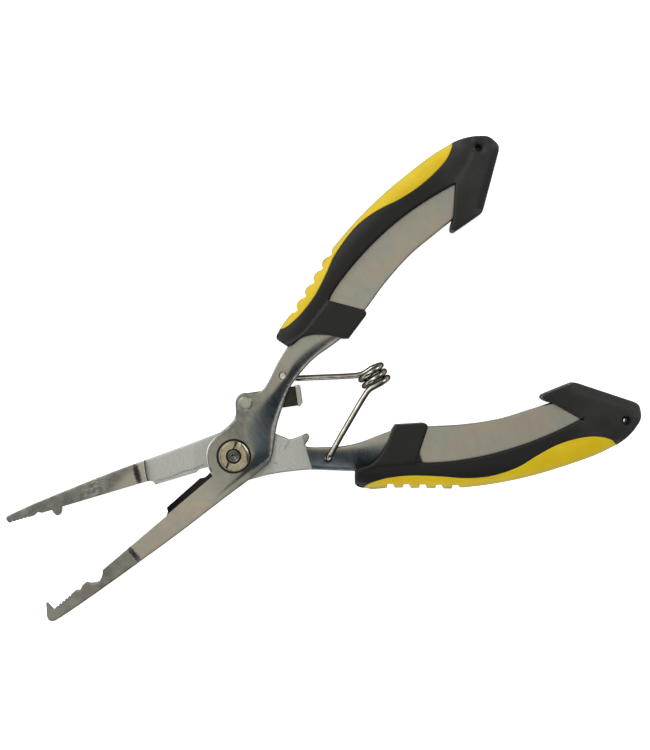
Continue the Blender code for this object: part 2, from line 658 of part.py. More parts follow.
if __name__ == "__main__":
    main()
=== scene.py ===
"""Looks of the fishing pliers: fine surfaces, materials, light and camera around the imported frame.

Levers, grips and fittings are drawn in the closed frame of their own side, in millimetres: the
pivot at (0, 0), the inner jaw edge along y = 0, x from the jaws to the handles and z from the
mid-plane out of the front face. Side.place() swings such points open into the row frame, in metres.
"""
import json
import math

import bmesh
import bpy
import numpy as np
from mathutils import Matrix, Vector
from mathutils.geometry import delaunay_2d_cdt, interpolate_bezier


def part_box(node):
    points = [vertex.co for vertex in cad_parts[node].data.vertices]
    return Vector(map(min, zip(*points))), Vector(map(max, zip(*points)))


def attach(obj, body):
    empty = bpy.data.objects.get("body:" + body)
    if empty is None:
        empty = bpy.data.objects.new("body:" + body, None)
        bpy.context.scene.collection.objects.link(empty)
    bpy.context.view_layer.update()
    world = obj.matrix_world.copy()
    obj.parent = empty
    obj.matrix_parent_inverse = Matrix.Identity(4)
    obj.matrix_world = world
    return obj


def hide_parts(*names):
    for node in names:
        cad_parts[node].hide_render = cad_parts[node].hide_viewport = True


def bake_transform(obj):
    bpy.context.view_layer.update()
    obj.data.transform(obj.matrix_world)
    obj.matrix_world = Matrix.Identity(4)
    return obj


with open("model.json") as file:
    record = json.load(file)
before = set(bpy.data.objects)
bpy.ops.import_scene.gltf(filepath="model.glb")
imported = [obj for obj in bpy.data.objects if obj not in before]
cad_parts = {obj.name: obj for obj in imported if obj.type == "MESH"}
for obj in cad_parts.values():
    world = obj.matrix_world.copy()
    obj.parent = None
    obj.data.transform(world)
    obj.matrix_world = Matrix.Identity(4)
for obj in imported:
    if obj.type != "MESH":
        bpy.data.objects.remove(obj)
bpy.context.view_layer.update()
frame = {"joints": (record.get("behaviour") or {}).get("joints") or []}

JOINTS = {joint["name"]: [value * 1000 for value in joint["pos_m"]] for joint in frame["joints"]}

# Sizes in millimetres: places from the frame, and the rest as in the CAD model, except that the
# teeth, the wire and the small holes are drawn a little bolder or finer than they are modelled
MID_Z = JOINTS["pivot_hinge"][2]
RIVET = (12.1, 9.3)
SWING = math.atan2(*JOINTS["latch_hinge"][1::-1]) - math.atan2(*RIVET[::-1])
LEVER_HALF = 2.5
TIP_HALF = 1.9
LAP_GAP = 0.15
LAP_RADIUS = 25.3
LOWER_LAP_END = 20.1
GRIP_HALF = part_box("upper_grip")[1].z * 1000 - MID_Z
SHORT_RAMP = (-38.7, -39.9)
LONG_RAMP = (-26.7, -28.4)
RAMP_BOW = 0.45
JAW_MIDDLE = -2.9
JAW_HALF = 2.6
CUTTER = (-25.1, -8.15)
BEVEL_FOOT = -0.45
BEVEL_SLOPE = 1.02
BEVEL_FLOOR = 0.35
SEAT_RADIUS = 4.75
SEAT_CHAMFER = 0.2
SEAT_Z = 1.2
SPOT_RADIUS = 11.6
PIVOT_BORE = 2.8
RIVET_BORE = 1.6
UPPER_HOLE = (25.2, 8.4)
LOWER_HOLE = (25.3, 8.2)
SPRING_HOLE = 0.9
SPRING_SINK = (1.05, 0.3, 1.6)    # the countersink's radius, width and slope
LANYARD_HOLE = (108.6, 21.7)
LANYARD_SINK = (1.35, 2.0)    # the countersink's radius and slope
UPPER_LANYARD = 0.3
LOWER_LANYARD = 0.7
WIRE = 0.82
WIRE_BEND = 1.3
COIL_CENTRE = JOINTS["spring_coil_turn"]
COIL_RADIUS = 3.5
COIL_PITCH = 2.0
COIL_TOP = 2.9
COIL_TURNS = (-75, 795)    # where the coil starts and ends, in degrees
TOOTH_PITCH = 1.1
FIRST_TOOTH = -60.3
TOOTH_COUNT = 5
UPPER_TOOTH = 0.95
LOWER_TOOTH = 0.5
LAST_TOOTH = FIRST_TOOTH - TOOTH_COUNT * TOOTH_PITCH


# ---- outlines and distances
def smooth(knots, step=0.5):
    """Points of a smooth curve through the knots, about a step apart."""
    knots = [Vector((x, y, 0.0)) for x, y in knots]
    last = len(knots) - 1
    slopes = [(knots[min(i + 1, last)] - knots[max(i - 1, 0)]).normalized()
              for i in range(last + 1)]
    curve = [knots[0]]
    for i in range(last):
        start, end = knots[i], knots[i + 1]
        length = (end - start).length
        count = max(2, math.ceil(length / step) + 1)
        curve.extend(interpolate_bezier(start, start + slopes[i] * length / 3,
                                        end - slopes[i + 1] * length / 3, end, count)[1:])
    return np.array([(point.x, point.y) for point in curve])


def outline(*runs):
    """One closed loop of runs. Each run is a smooth curve, and runs meet at corners."""
    points = np.vstack([smooth(run) for run in runs])
    gaps = np.hypot(*(points - np.roll(points, 1, axis=0)).T)
    return points[gaps > 0.02]


def circle(centre, radius, count=48):
    """A round loop about a centre."""
    turns = np.arange(count) * 2 * math.pi / count
    return np.array(centre) + radius * np.column_stack((np.cos(turns), np.sin(turns)))


def segments(line, closed):
    """The straight stretches of a line, as pairs of points."""
    ends = np.roll(line, -1, axis=0)
    pairs = list(zip(line, ends))
    return pairs if closed else pairs[:-1]


def distance(points, line, closed=False):
    """How far each point lies from a line."""
    best = np.full(len(points), 1e9)
    for start, end in segments(line, closed):
        along = end - start
        share = np.clip((points - start) @ along / max(along @ along, 1e-12), 0, 1)
        away = points - start - share[:, None] * along
        best = np.minimum(best, np.hypot(away[:, 0], away[:, 1]))
    return best


def inside(points, loop):
    """Which points lie inside a closed loop."""
    crossings = np.zeros(len(points), int)
    for start, end in segments(loop, True):
        if start[1] == end[1]:
            continue
        spans = (points[:, 1] < start[1]) != (points[:, 1] < end[1])
        x = start[0] + (points[:, 1] - start[1]) * (end[0] - start[0]) / (end[1] - start[1])
        crossings += spans & (points[:, 0] < x)
    return crossings % 2 == 1


def axes(degrees):
    """The directions along and beside a line that is turned this far from x."""
    turn = math.radians(degrees)
    return (np.array((math.cos(turn), math.sin(turn))),
            np.array((-math.sin(turn), math.cos(turn))))


def ease(value):
    """0 below 0, 1 above 1, and an S-curve between."""
    value = np.clip(value, 0.0, 1.0)
    return value * value * (3 - 2 * value)


def bulge(away, reach, depth, power=2.2):
    """How far a rounded edge has dropped at a distance from it: depth at the edge, 0 at reach."""
    share = np.clip(1 - away / reach, 0.0, 1.0)
    return depth * (1 - (1 - share ** power) ** (1 / power))


# ---- pieces
class Side:
    """One lever's side of the pliers, in which points of the closed lever are placed."""

    def __init__(self, body, swing, flip):
        self.body = body
        self.swing = swing
        self.flip = flip

    def place(self, points):
        """Points of the closed lever, in the row frame and in metres."""
        x, y, z = np.asarray(points, float).T
        y = y * self.flip
        cos, sin = math.cos(self.swing), math.sin(self.swing)
        return np.column_stack((x * cos - y * sin, x * sin + y * cos, z + MID_Z)) * 0.001


UPPER = Side("upper_half", SWING, 1.0)
LOWER = Side("lower_half", -SWING, -1.0)


def stand(name, data):
    """A new object in the scene."""
    made = bpy.data.objects.new(name, data)
    bpy.context.scene.collection.objects.link(made)
    return made


def piece(name, verts, faces, nodes, slot, body, place, marks=None):
    """A finished mesh that stands for CAD nodes.

    place holds its points in its own coordinates and marks its attributes, for the materials.
    """
    mesh = bpy.data.meshes.new(name)
    mesh.from_pydata(np.asarray(verts).tolist(), [], faces)
    edit = bmesh.new()
    edit.from_mesh(mesh)
    bmesh.ops.recalc_face_normals(edit, faces=edit.faces)
    edit.to_mesh(mesh)
    edit.free()
    mesh.shade_smooth()
    mesh.set_sharp_from_angle(angle=math.radians(38))
    where = mesh.attributes.new("place", "FLOAT_VECTOR", "POINT")
    where.data.foreach_set("vector", np.asarray(place, np.float32).ravel())
    for key, values in (marks or {}).items():
        mark = mesh.attributes.new(key, "FLOAT", "POINT")
        mark.data.foreach_set("value", np.asarray(values, np.float32))
    mesh.materials.append(MATERIALS[slot])
    made = stand(name, mesh)
    if body:
        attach(made, body)
    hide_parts(*nodes)
    return made


def fill(loop, holes, creases, rings, spacing):
    """Triangles inside the loop and round the holes, with rows of points along every edge."""
    borders = [loop, *holes]
    corners, edges = [], []
    for line, closed in [(border, True) for border in borders] + [(c, False) for c in creases]:
        first = len(corners)
        corners.extend(line)
        count = len(line)
        edges.extend((first + i, first + (i + 1) % count) for i in range(count - (not closed)))

    def clear_of(points, gap):
        """The points that lie on the material, at least a gap from each border."""
        keep = inside(points, loop)
        for hole in holes:
            keep &= ~inside(points, hole)
        for border in borders:
            keep &= distance(points, border, True) > gap
        return points[keep]

    free = []
    for border in borders:
        along = np.roll(border, -1, axis=0) - np.roll(border, 1, axis=0)
        along /= np.hypot(along[:, 0], along[:, 1])[:, None]
        normal = np.column_stack((-along[:, 1], along[:, 0]))
        for ring in rings:
            for way in (1, -1):
                free.append(clear_of(border + normal * ring * way, ring * 0.8))
    low, high = loop.min(axis=0), loop.max(axis=0)
    rows = np.arange(low[1], high[1], spacing * 0.866)
    for index, y in enumerate(rows):
        x = np.arange(low[0] + (index % 2) * spacing / 2, high[0], spacing)
        free.append(np.column_stack((x, np.full(len(x), y))))
    inner = clear_of(np.vstack(free[-len(rows):]), rings[-1] * 1.25)
    free = np.vstack(free[:-len(rows)] + [inner])
    for crease in creases:
        free = free[distance(free, crease) > 0.05]
    free = free[np.unique(np.round(free / 0.03), axis=0, return_index=True)[1]]

    points = [Vector(p) for p in corners] + [Vector(p) for p in free]
    found = delaunay_2d_cdt(points, edges, [], 0, 1e-5)
    flat = np.array([(p.x, p.y) for p in found[0]])
    triangles = np.array([face for face in found[2] if len(face) == 3])
    centres = flat[triangles].mean(axis=1)
    keep = inside(centres, loop)
    for hole in holes:
        keep &= ~inside(centres, hole)
    triangles = triangles[keep]
    used = np.unique(triangles)
    number = np.full(len(flat), -1)
    number[used] = np.arange(len(used))
    return flat[used], number[triangles]


def plate(name, side, loop, front, back, nodes, slot, holes=(), creases=(), rounding=0.25,
          rings=(0.02, 0.08, 0.17, 0.3), spacing=0.7, marks=None, body=None, rim_levels=3):
    """A piece between two height fields, front and back, with rounded edges.

    front and back take points, and each of the marks takes points and their heights.
    """
    flat, triangles = fill(loop, list(holes), list(creases), rings, spacing)
    away = np.minimum.reduce([distance(flat, border, True) for border in [loop, *holes]])
    radius = rounding(flat) if callable(rounding) else np.full(len(flat), rounding)
    reach = np.clip(radius - away, 0.0, None)
    drop = radius - np.sqrt(np.maximum(radius ** 2 - reach ** 2, 0.0))
    top, bottom = front(flat) - drop, back(flat) + drop
    verts = [np.column_stack((flat, top)), np.column_stack((flat, bottom))]
    count = len(flat)
    faces = triangles.tolist() + (triangles[:, ::-1] + count).tolist()

    sides = np.sort(np.vstack([triangles[:, [i, (i + 1) % 3]] for i in range(3)]), axis=1)
    edges, uses = np.unique(sides, axis=0, return_counts=True)
    rim = edges[uses == 1]
    rim_verts = np.unique(rim)
    order = {vert: index for index, vert in enumerate(rim_verts)}
    total = 2 * count
    levels = [rim_verts]
    for level in range(1, rim_levels):
        share = level / rim_levels
        height = top[rim_verts] * (1 - share) + bottom[rim_verts] * share
        verts.append(np.column_stack((flat[rim_verts], height)))
        levels.append(total + np.arange(len(rim_verts)))
        total += len(rim_verts)
    levels.append(rim_verts + count)
    for upper, lower in zip(levels, levels[1:]):
        for a, b in rim:
            i, j = order[a], order[b]
            faces.append([int(upper[i]), int(upper[j]), int(lower[j]), int(lower[i])])
    verts = np.vstack(verts)
    values = {key: np.asarray(mark(verts[:, :2], verts[:, 2]), float)
              for key, mark in (marks or {}).items()}
    return piece(name, side.place(verts), faces, nodes, slot, body or side.body, verts, values)


def flat_field(height):
    """A height field that is the same everywhere."""
    return lambda points: np.full(len(points), height)


def turned(name, side, centre, profile, nodes, slot, segments_round=64, closed=False, marks=None):
    """A piece turned about Z through a centre. The profile holds (radius, height) pairs."""
    verts, faces, rings = [], [], []
    for radius, height in profile:
        count = 1 if radius == 0 else segments_round
        rings.append([len(verts) + i for i in range(count)])
        for i in range(count):
            angle = 2 * math.pi * i / count
            verts.append((centre[0] + radius * math.cos(angle),
                          centre[1] + radius * math.sin(angle), height))
    pairs = list(zip(rings, rings[1:]))
    if closed:
        pairs.append((rings[-1], rings[0]))
    for first, second in pairs:
        for i in range(segments_round):
            j = i + 1
            corners = (first[i % len(first)], first[j % len(first)],
                       second[j % len(second)], second[i % len(second)])
            faces.append(list(dict.fromkeys(corners)))
    values = {key: mark(np.array(verts)) for key, mark in (marks or {}).items()}
    return piece(name, side.place(verts), faces, nodes, slot, side.body, verts, values)


def rounded(profile, radius=0.15, steps=4):
    """A turned profile with its inner corners softened."""
    soft = [profile[0]]
    for before, corner, after in zip(profile, profile[1:], profile[2:]):
        corner_v, a, b = Vector(corner), Vector(before), Vector(after)
        cut = min(radius, (a - corner_v).length * 0.45, (b - corner_v).length * 0.45)
        start = corner_v + (a - corner_v).normalized() * cut
        end = corner_v + (b - corner_v).normalized() * cut
        for i in range(steps + 1):
            t = i / steps
            point = start * (1 - t) ** 2 + corner_v * 2 * t * (1 - t) + end * t ** 2
            soft.append((max(point.x, 0.0), point.y))
    soft.append(profile[-1])
    return soft


# ---- materials
def node(tree, kind, inputs=None, **settings):
    """A node with its settings and its inputs, which are values or other nodes' outputs."""
    new = tree.nodes.new(kind)
    for key, value in settings.items():
        setattr(new, key, value)
    for key, value in (inputs or {}).items():
        if isinstance(value, bpy.types.NodeSocket):
            tree.links.new(value, new.inputs[key])
        else:
            new.inputs[key].default_value = value
    return new


def maths(tree, operation, first, second=0.0):
    """The result of a Math node."""
    return node(tree, "ShaderNodeMath", {0: first, 1: second}, operation=operation).outputs[0]


def remap(tree, value, low, high, to_low=0.0, to_high=1.0):
    """A value moved from one range to another, and kept inside it."""
    return node(tree, "ShaderNodeMapRange", {"Value": value, "From Min": low, "From Max": high,
                                             "To Min": to_low, "To Max": to_high}).outputs[0]


def blend(tree, factor, first, second):
    """A mix of two colours."""
    inputs = {0: factor, 6: first, 7: second}
    return node(tree, "ShaderNodeMix", inputs, data_type="RGBA").outputs[2]


def grain(tree, place, scale, stretch=(1.0, 1.0, 1.0), detail=3.0, roughness=0.55, lean=0.0):
    """Noise over the piece, in features per millimetre, stretched along its own axes."""
    turned_place = node(tree, "ShaderNodeMapping", {"Vector": place, "Scale": stretch,
                                                    "Rotation": (0.0, 0.0, math.radians(lean))})
    return node(tree, "ShaderNodeTexNoise", {"Vector": turned_place.outputs[0], "Scale": scale,
                                             "Detail": detail, "Roughness": roughness}).outputs[0]


def mark(tree, name):
    """A piece's own attribute, as a number."""
    return node(tree, "ShaderNodeAttribute", attribute_name=name).outputs["Fac"]


def upward(tree):
    """How level a surface lies: 1 facing straight up or down, and 0 on a wall."""
    normal = node(tree, "ShaderNodeNewGeometry").outputs["Normal"]
    return maths(tree, "ABSOLUTE", node(tree, "ShaderNodeSeparateXYZ", {0: normal}).outputs[2])


def start_material(name, **sockets):
    """A Principled material, its tree, its shader and the piece's own coordinates."""
    material = bpy.data.materials.new(name)
    material.use_nodes = True
    tree = material.node_tree
    shader = tree.nodes["Principled BSDF"]
    for key, value in sockets.items():
        shader.inputs[key.replace("_", " ")].default_value = value
    place = node(tree, "ShaderNodeAttribute", attribute_name="place").outputs["Vector"]
    return material, tree, shader, place


def finish_material(tree, shader, colour, roughness, height=None, depth=0.0):
    """Connect a material's varying inputs. depth is the bump's height in millimetres."""
    tree.links.new(colour, shader.inputs["Base Color"])
    tree.links.new(roughness, shader.inputs["Roughness"])
    if height is not None:
        bump = node(tree, "ShaderNodeBump", {"Height": height, "Strength": 1.0,
                                             "Distance": depth * 0.001})
        tree.links.new(bump.outputs[0], shader.inputs["Normal"])


def ground_steel(name):
    """Satin steel ground across its length, grit-blasted in the laps and black in the cutter, with
    painted shade on its walls, painted highlights on the disc's chamfer, the land's ridge and the lap's
    step, and painted dark reflections on the slopes, the jaw steps and round the nut.
    """
    material, tree, shader, place = start_material(name, Metallic=1.0)
    shader.inputs["Specular Tint"].default_value = (0.4, 0.4, 0.39, 1)
    streaks = grain(tree, place, 1.0, (3.2, 0.16, 1.0), detail=4.0, lean=8.0)
    fine = grain(tree, place, 1.0, (9.0, 0.5, 1.0), detail=2.0, lean=8.0)
    patches = grain(tree, place, 0.13, detail=5.0, roughness=0.6)
    stains = grain(tree, place, 0.45, (1.0, 0.7, 1.0), detail=6.0, roughness=0.65, lean=30.0)
    speckle = grain(tree, place, 3.5, detail=2.0)
    blast_and_lip_highlight, oxide_and_shade = mark(tree, "blast_and_lip_highlight"), mark(tree, "oxide_and_shade")
    warm = blend(tree, remap(tree, patches, 0.35, 0.65), (0.275, 0.29, 0.285, 1), (0.43, 0.385, 0.31, 1))
    warm = blend(tree, remap(tree, stains, 0.42, 0.62, 0.0, 0.4), warm, (0.30, 0.30, 0.285, 1))
    worn = blend(tree, remap(tree, streaks, 0.35, 0.75, 0.0, 0.2), warm, (0.50, 0.495, 0.475, 1))
    pale = blend(tree, remap(tree, speckle, 0.3, 0.7, 0.0, 1.0), (0.52, 0.525, 0.50, 1),
                 (0.66, 0.66, 0.64, 1))
    slate = blend(tree, remap(tree, stains, 0.38, 0.66), (0.115, 0.125, 0.12, 1), (0.225, 0.23, 0.215, 1))
    dull = blend(tree, mark(tree, "cool"), worn, slate)
    smears = grain(tree, place, 1.2, (0.5, 1.3, 1.0), detail=5.0, roughness=0.65, lean=-12.0)
    rub_and_sheen = maths(tree, "MULTIPLY", mark(tree, "scuff"), remap(tree, smears, 0.5, 0.62, 0.0, 0.8))
    scuffed = blend(tree, rub_and_sheen, dull, (0.36, 0.37, 0.35, 1))
    # Painted reflection: the slopes take a dark, bluish streaked colour for the dark surroundings that
    # they mirror
    slope_reflection_share = maths(tree, "MULTIPLY", mark(tree, "slope"), remap(tree, speckle, 0.3, 0.7, 0.6, 0.95))
    painted_slope_reflection = blend(tree, remap(tree, streaks, 0.42, 0.6), (0.205, 0.25, 0.28, 1), (0.285, 0.335, 0.37, 1))
    sloped = blend(tree, slope_reflection_share, scuffed, painted_slope_reflection)
    # Pale where grit-blasted, and a painted highlight strip along the lap's step on the jaw side
    flat = blend(tree, blast_and_lip_highlight, sloped, pale)
    broken = maths(tree, "MULTIPLY", mark(tree, "scar"), remap(tree, speckle, 0.4, 0.55, 0.15, 0.9))
    # Painted highlight: a pale line on the jaw side of the disc's chamfer and along the ridge by the
    # outer land
    bright = blend(tree, mark(tree, "edge"), flat, (0.7, 0.7, 0.68, 1))
    steel = blend(tree, broken, bright, (0.12, 0.12, 0.11, 1))
    # Painted shade: the steel is darker on its walls than on its level faces
    shaded_walls = blend(tree, remap(tree, upward(tree), 0.1, 0.6), (0.16, 0.16, 0.155, 1), steel)
    # Near black where the mark is high: the dark cutter bevel, painted dark reflection on the jaw steps,
    # painted shadow in the nut's seat, and tarnish on the bolt's end
    colour = blend(tree, oxide_and_shade, shaded_walls, (0.014, 0.012, 0.011, 1))
    satin = maths(tree, "ADD", remap(tree, patches, 0.3, 0.7, 0.27, 0.36),
                  remap(tree, streaks, 0.2, 0.8, -0.05, 0.07))
    roughness = maths(tree, "ADD", satin, maths(tree, "MULTIPLY", blast_and_lip_highlight, 0.2))
    soft = maths(tree, "MULTIPLY", blast_and_lip_highlight, maths(tree, "MULTIPLY", speckle, 2.8))
    lines = maths(tree, "ADD", maths(tree, "MULTIPLY", streaks, 0.6), maths(tree, "MULTIPLY", fine, 0.4))
    height = maths(tree, "ADD", soft, lines)
    finish_material(tree, shader, colour, roughness, height, 0.0045)
    return material


def pressed_steel(name):
    """Tumbled sheet steel, painted near black where its mark is high, as shade."""
    material, tree, shader, place = start_material(name, Metallic=1.0)
    cloud = grain(tree, place, 0.8, detail=5.0)
    pits = grain(tree, place, 5.0, detail=2.0)
    bright = blend(tree, cloud, (0.33, 0.32, 0.30, 1), (0.48, 0.47, 0.44, 1))
    # Painted shade: the near-black colour of the latch's shaded plate and of the tab's sides
    black = blend(tree, cloud, (0.006, 0.0055, 0.005, 1), (0.014, 0.0125, 0.011, 1))
    colour = blend(tree, mark(tree, "oxide_and_shade"), bright, black)
    finish_material(tree, shader, colour, remap(tree, cloud, 0.3, 0.7, 0.3, 0.48), pits, 0.01)
    return material


def plated_brass(name):
    """Nickel-plated brass, turned, with brown stains."""
    material, tree, shader, place = start_material(name, Metallic=1.0)
    cloud = grain(tree, place, 0.55, detail=6.0, roughness=0.65)
    scuffs = grain(tree, place, 1.0, (5.0, 0.7, 1.0), detail=3.0, lean=35.0)
    plate_colour = blend(tree, remap(tree, cloud, 0.38, 0.62), (0.24, 0.22, 0.155, 1),
                         (0.38, 0.355, 0.28, 1))
    stained = blend(tree, remap(tree, scuffs, 0.58, 0.72, 0.0, 0.7), plate_colour, (0.2, 0.15, 0.08, 1))
    finish_material(tree, shader, stained, remap(tree, cloud, 0.3, 0.7, 0.2, 0.36), scuffs, 0.01)
    return material


def spring_wire(name):
    """Bright drawn wire, cloudy in tone, painted darker on its flanks as shade."""
    material, tree, shader, place = start_material(name, Metallic=1.0)
    cloud = grain(tree, place, 0.6, detail=5.0)
    fine = grain(tree, place, 4.0, detail=3.0)
    bright = blend(tree, remap(tree, cloud, 0.35, 0.65), (0.33, 0.30, 0.255, 1), (0.50, 0.48, 0.44, 1))
    shader.inputs["Specular Tint"].default_value = (0.2, 0.18, 0.15, 1)
    # Painted shade: the wire is darker where it faces sideways than where it faces up or down
    colour = blend(tree, remap(tree, upward(tree), 0.55, 0.92), (0.115, 0.107, 0.092, 1), bright)
    finish_material(tree, shader, colour, remap(tree, fine, 0.3, 0.7, 0.16, 0.28), fine, 0.004)
    return material


def moulded_plastic(name):
    """Matt black plastic. The band mark gives the outer band its finer, darker grain, and a painted sheen
    lightens stripes on the cap.
    """
    material, tree, shader, place = start_material(name, Metallic=0.0)
    tree.links.new(remap(tree, upward(tree), 0.1, 0.8, 0.03, 0.36), shader.inputs["Specular IOR Level"])
    texture = grain(tree, place, 6.0, detail=3.0)
    cloud = grain(tree, place, 0.2, detail=4.0)
    band = mark(tree, "band")
    collar = blend(tree, cloud, (0.0085, 0.0087, 0.009, 1), (0.012, 0.0122, 0.0125, 1))
    outer = blend(tree, cloud, (0.0036, 0.0037, 0.004, 1), (0.0056, 0.0058, 0.0062, 1))
    along = node(tree, "ShaderNodeSeparateXYZ", {0: place}).outputs[0]
    # Lighter grey towards the end cap, in cloudy patches
    lighter_to_cap = maths(tree, "MULTIPLY", remap(tree, along, 90.0, 99.0),
                  remap(tree, cloud, 0.3, 0.7, 0.4, 1.0))
    moulding = blend(tree, lighter_to_cap, blend(tree, band, collar, outer), (0.025, 0.0255, 0.026, 1))
    # Painted sheen: lighter stripes along the crease of the cap's rear bevel and along the cap's ridge
    rub_and_sheen = maths(tree, "MULTIPLY", mark(tree, "painted_sheen"), remap(tree, texture, 0.3, 0.7, 0.3, 0.8))
    colour = blend(tree, rub_and_sheen, moulding, (0.05, 0.05, 0.05, 1))
    rough = remap(tree, texture, 0.3, 0.7, 0.42, 0.58)
    finish_material(tree, shader, colour, rough, texture, 0.02)
    return material


def soft_rubber(name):
    """Yellow soft moulding with a faint grain, a little bounce of light inside it, and painted shade on
    its sides.
    """
    material, tree, shader, place = start_material(name, Metallic=0.0, Subsurface_Weight=0.12,
                                                   Subsurface_Scale=0.0012)
    shader.inputs["Subsurface Radius"].default_value = (1.0, 0.6, 0.15)
    tree.links.new(remap(tree, upward(tree), 0.1, 0.8, 0.03, 0.25), shader.inputs["Specular IOR Level"])
    texture = grain(tree, place, 5.0, detail=2.0)
    cloud = grain(tree, place, 0.12, detail=3.0)
    yellow = blend(tree, remap(tree, cloud, 0.35, 0.65), (0.80, 0.55, 0.009, 1), (0.84, 0.62, 0.016, 1))
    # Painted shade: the yellow turns dark olive where the moulding faces sideways
    colour = blend(tree, remap(tree, upward(tree), 0.35, 0.9), (0.36, 0.31, 0.08, 1), yellow)
    finish_material(tree, shader, colour, remap(tree, texture, 0.3, 0.7, 0.38, 0.5), texture, 0.012)
    return material


MATERIALS = {
    "lever_steel": ground_steel("Ground steel"),
    "latch_steel": pressed_steel("Pressed steel"),
    "nut_metal": plated_brass("Plated brass"),
    "spring_steel": spring_wire("Spring wire"),
    "grip_plastic": moulded_plastic("Moulded plastic"),
    "grip_rubber": soft_rubber("Soft rubber"),
}


# ---- levers
TANG_INNER = [(35, 6.45), (42, 5.95), (46, 5.85), (50, 6.35), (55.2, 7.6), (65, 9.9),
              (75, 11.25), (85, 11.2), (92, 11.2), (98, 12.6), (102.5, 14.8)]
TANG_END = [(102.5, 14.8), (104.4, 17), (102.8, 18.9)]
TANG_OUTER = [(102.8, 18.9), (95, 20.6), (85, 22.2), (75, 22.8), (65, 22.2), (55, 20.1),
              (46, 17.6), (38, 15.4), (31.6, 13.85)]
PIVOT_DISC = [(0, 7.7), (-3, 7.15), (-5.2, 5.8), (-6.9, 3.6), (-7.9, 1.6), (-8, 0.9)]
DISC_RIM = [(8.6, 9.3), (7, 8), (4.5, 7.6)] + PIVOT_DISC
DISC_EDGE = smooth(DISC_RIM, 0.6)
CHAMFER_WIDTH = 0.34
CHAMFER_SLOPE = 0.8
ARM_INNER = [(6.6, -7.75), (8, -7), (9.8, -5.6), (12.7, -3), (15.5, -0.75)]

# Each lever's outer face slopes down to a low land along the inner edge of the arm, and its other
# face to a land along the outer edge. LAND is where the slope ends, FLAT where it begins, and DEPTH
# how far the land has sunk at places along the lever.
OUTER_LAND = [(-15, -6.75), (-8, -5.75), (-4, -5.85), (0, -6), (3, -6.2), (6, -6.5),
              (7, -6.55), (8.05, -6.05), (9.6, -4.6), (11.1, -3), (12.9, -1.2), (15.5, 0.6),
              (19.1, 2.8), (21.9, 4.2), (24.5, 5.35), (30, 6.7), (35, 7.1), (40, 7),
              (46, 6.5)]
OUTER_FLAT = [(-15, -6), (-8, -5.1), (-3, -5), (1, -4.6), (4, -3.4), (5.3, -1.4),
              (6, 0.9), (7.9, 3.7), (11.6, 5.8), (16, 6.4), (20, 6.9), (25, 7.6),
              (30, 9.4), (35, 9.9), (40, 9.3), (46, 7.4)]
INNER_LAND = [(19, 8.8), (23, 10.3), (26, 11.3), (29, 12.3), (31.5, 13.2), (38, 14.7),
              (50, 18)]
INNER_FLAT = [(19, 3), (21, 3.7), (25, 5.1), (28, 6.1), (30, 6.55), (33, 7),
              (36, 7.5), (40, 7.7), (50, 8.6)]
OUTER_LAND_BEYOND = [(46, 0), (20, -3), (10, -12), (-15, -12)]
INNER_LAND_BEYOND = [(50, 24), (19, 16)]
OUTER_DEPTH = ([-15, -5, 0, 3, 6.5, 14, 20, 26, 32, 46],
               [0, 0.12, 0.3, 0.75, 1.4, 1.4, 1.1, 0.85, 0.62, 0.25])
INNER_DEPTH = ([19, 34, 50], [1.6, 1.75, 0.5])

# How grey the steel is at places along a lever, and along the hooked jaw
GREY = ([-12, -5, 4, 9, 20, 32], [0, 0.5, 0.85, 0.9, 0.5, 0.2])
JAW_GREY = ([-68, -60, -50, -41, -39, -38.7], [0.35, 0.6, 0.85, 0.7, 0.45, 0])
LAP_SCARS = [[(16.2, 0.3), (15.2, 1.3), (14.4, 2.3)], [(10.2, 5), (10.9, 5.35)],
             [(-9, -0.2), (-12, 0.3), (-15, 0.15), (-19, 0.6), (-22.8, 0.45)]]
UPPER_ARM_LAP = [(18, -14), (18, -0.6), (8.3, 7.7), (8.3, 14)]
LOWER_ARM_LAP = [(LOWER_LAP_END, -14), (LOWER_LAP_END, 14)]


def teeth(depth):
    """The row of gripping teeth near the jaw tip, on the jaw's inner edge."""
    row = []
    for index in range(TOOTH_COUNT):
        crest = FIRST_TOOTH - index * TOOTH_PITCH
        root = crest - TOOTH_PITCH * 0.45
        row.append([(crest, 0.0), (root, -depth)])
        row.append([(root, -depth), (crest - TOOTH_PITCH, 0.0)])
    return row


def upper_lever_outline():
    """The upper lever: hooked jaw, side cutter, pivot disc, latch boss and tang."""
    return outline(
        [(-67.2, 2.6), (-68.1, 1.3), (-69.2, -0.1), (-69.7, -1.4), (-69.3, -2.3), (-68.4, -2.9)],
        [(-68.4, -2.9), (-65, -3.35), (-55, -4.35), (-40, -5.55), (-25, -6.6),
         (-10, -7.3), (-2.3, -7.75), (4, -7.95)] + ARM_INNER
        + [(19.1, 1.6), (24.5, 4.55), (28.8, 5.65)] + TANG_INNER,
        TANG_END,
        TANG_OUTER + [(26, 11.95), (20.6, 9.6), (17.6, 9.1), (15, 10.6), (13.7, 11.8),
                      (12.2, 12.25), (10.4, 11.5), (8.6, 9.3), (7, 8), (4.5, 7.6), (0, 7.7)],
        PIVOT_DISC,
        [(-8, 0.9), (-9.2, 0.72), (-10.4, 0.85), (-11.4, 1.45)],
        [(-11.4, 1.45), (-23.9, 1.2)],
        [(-23.9, 1.2), (-24.4, 0.1), (-25.4, -0.5)],
        [(-25.4, -0.5), (-49, -0.55)],
        [(-49, -0.55), (-50, -1.6), (-52, -2.3), (-54, -1.35), (-55, -0.15)],
        [(-55, -0.15), (-56.3, -0.2), (-57.5, -0.8), (-58.8, 0)],
        [(-58.8, 0), (FIRST_TOOTH, 0)],
        *teeth(UPPER_TOOTH),
        [(LAST_TOOTH, 0), (-66.5, -0.35), (-67.1, 0.1)],
        [(-67.1, 0.1), (-67.2, 2.6)],
    )


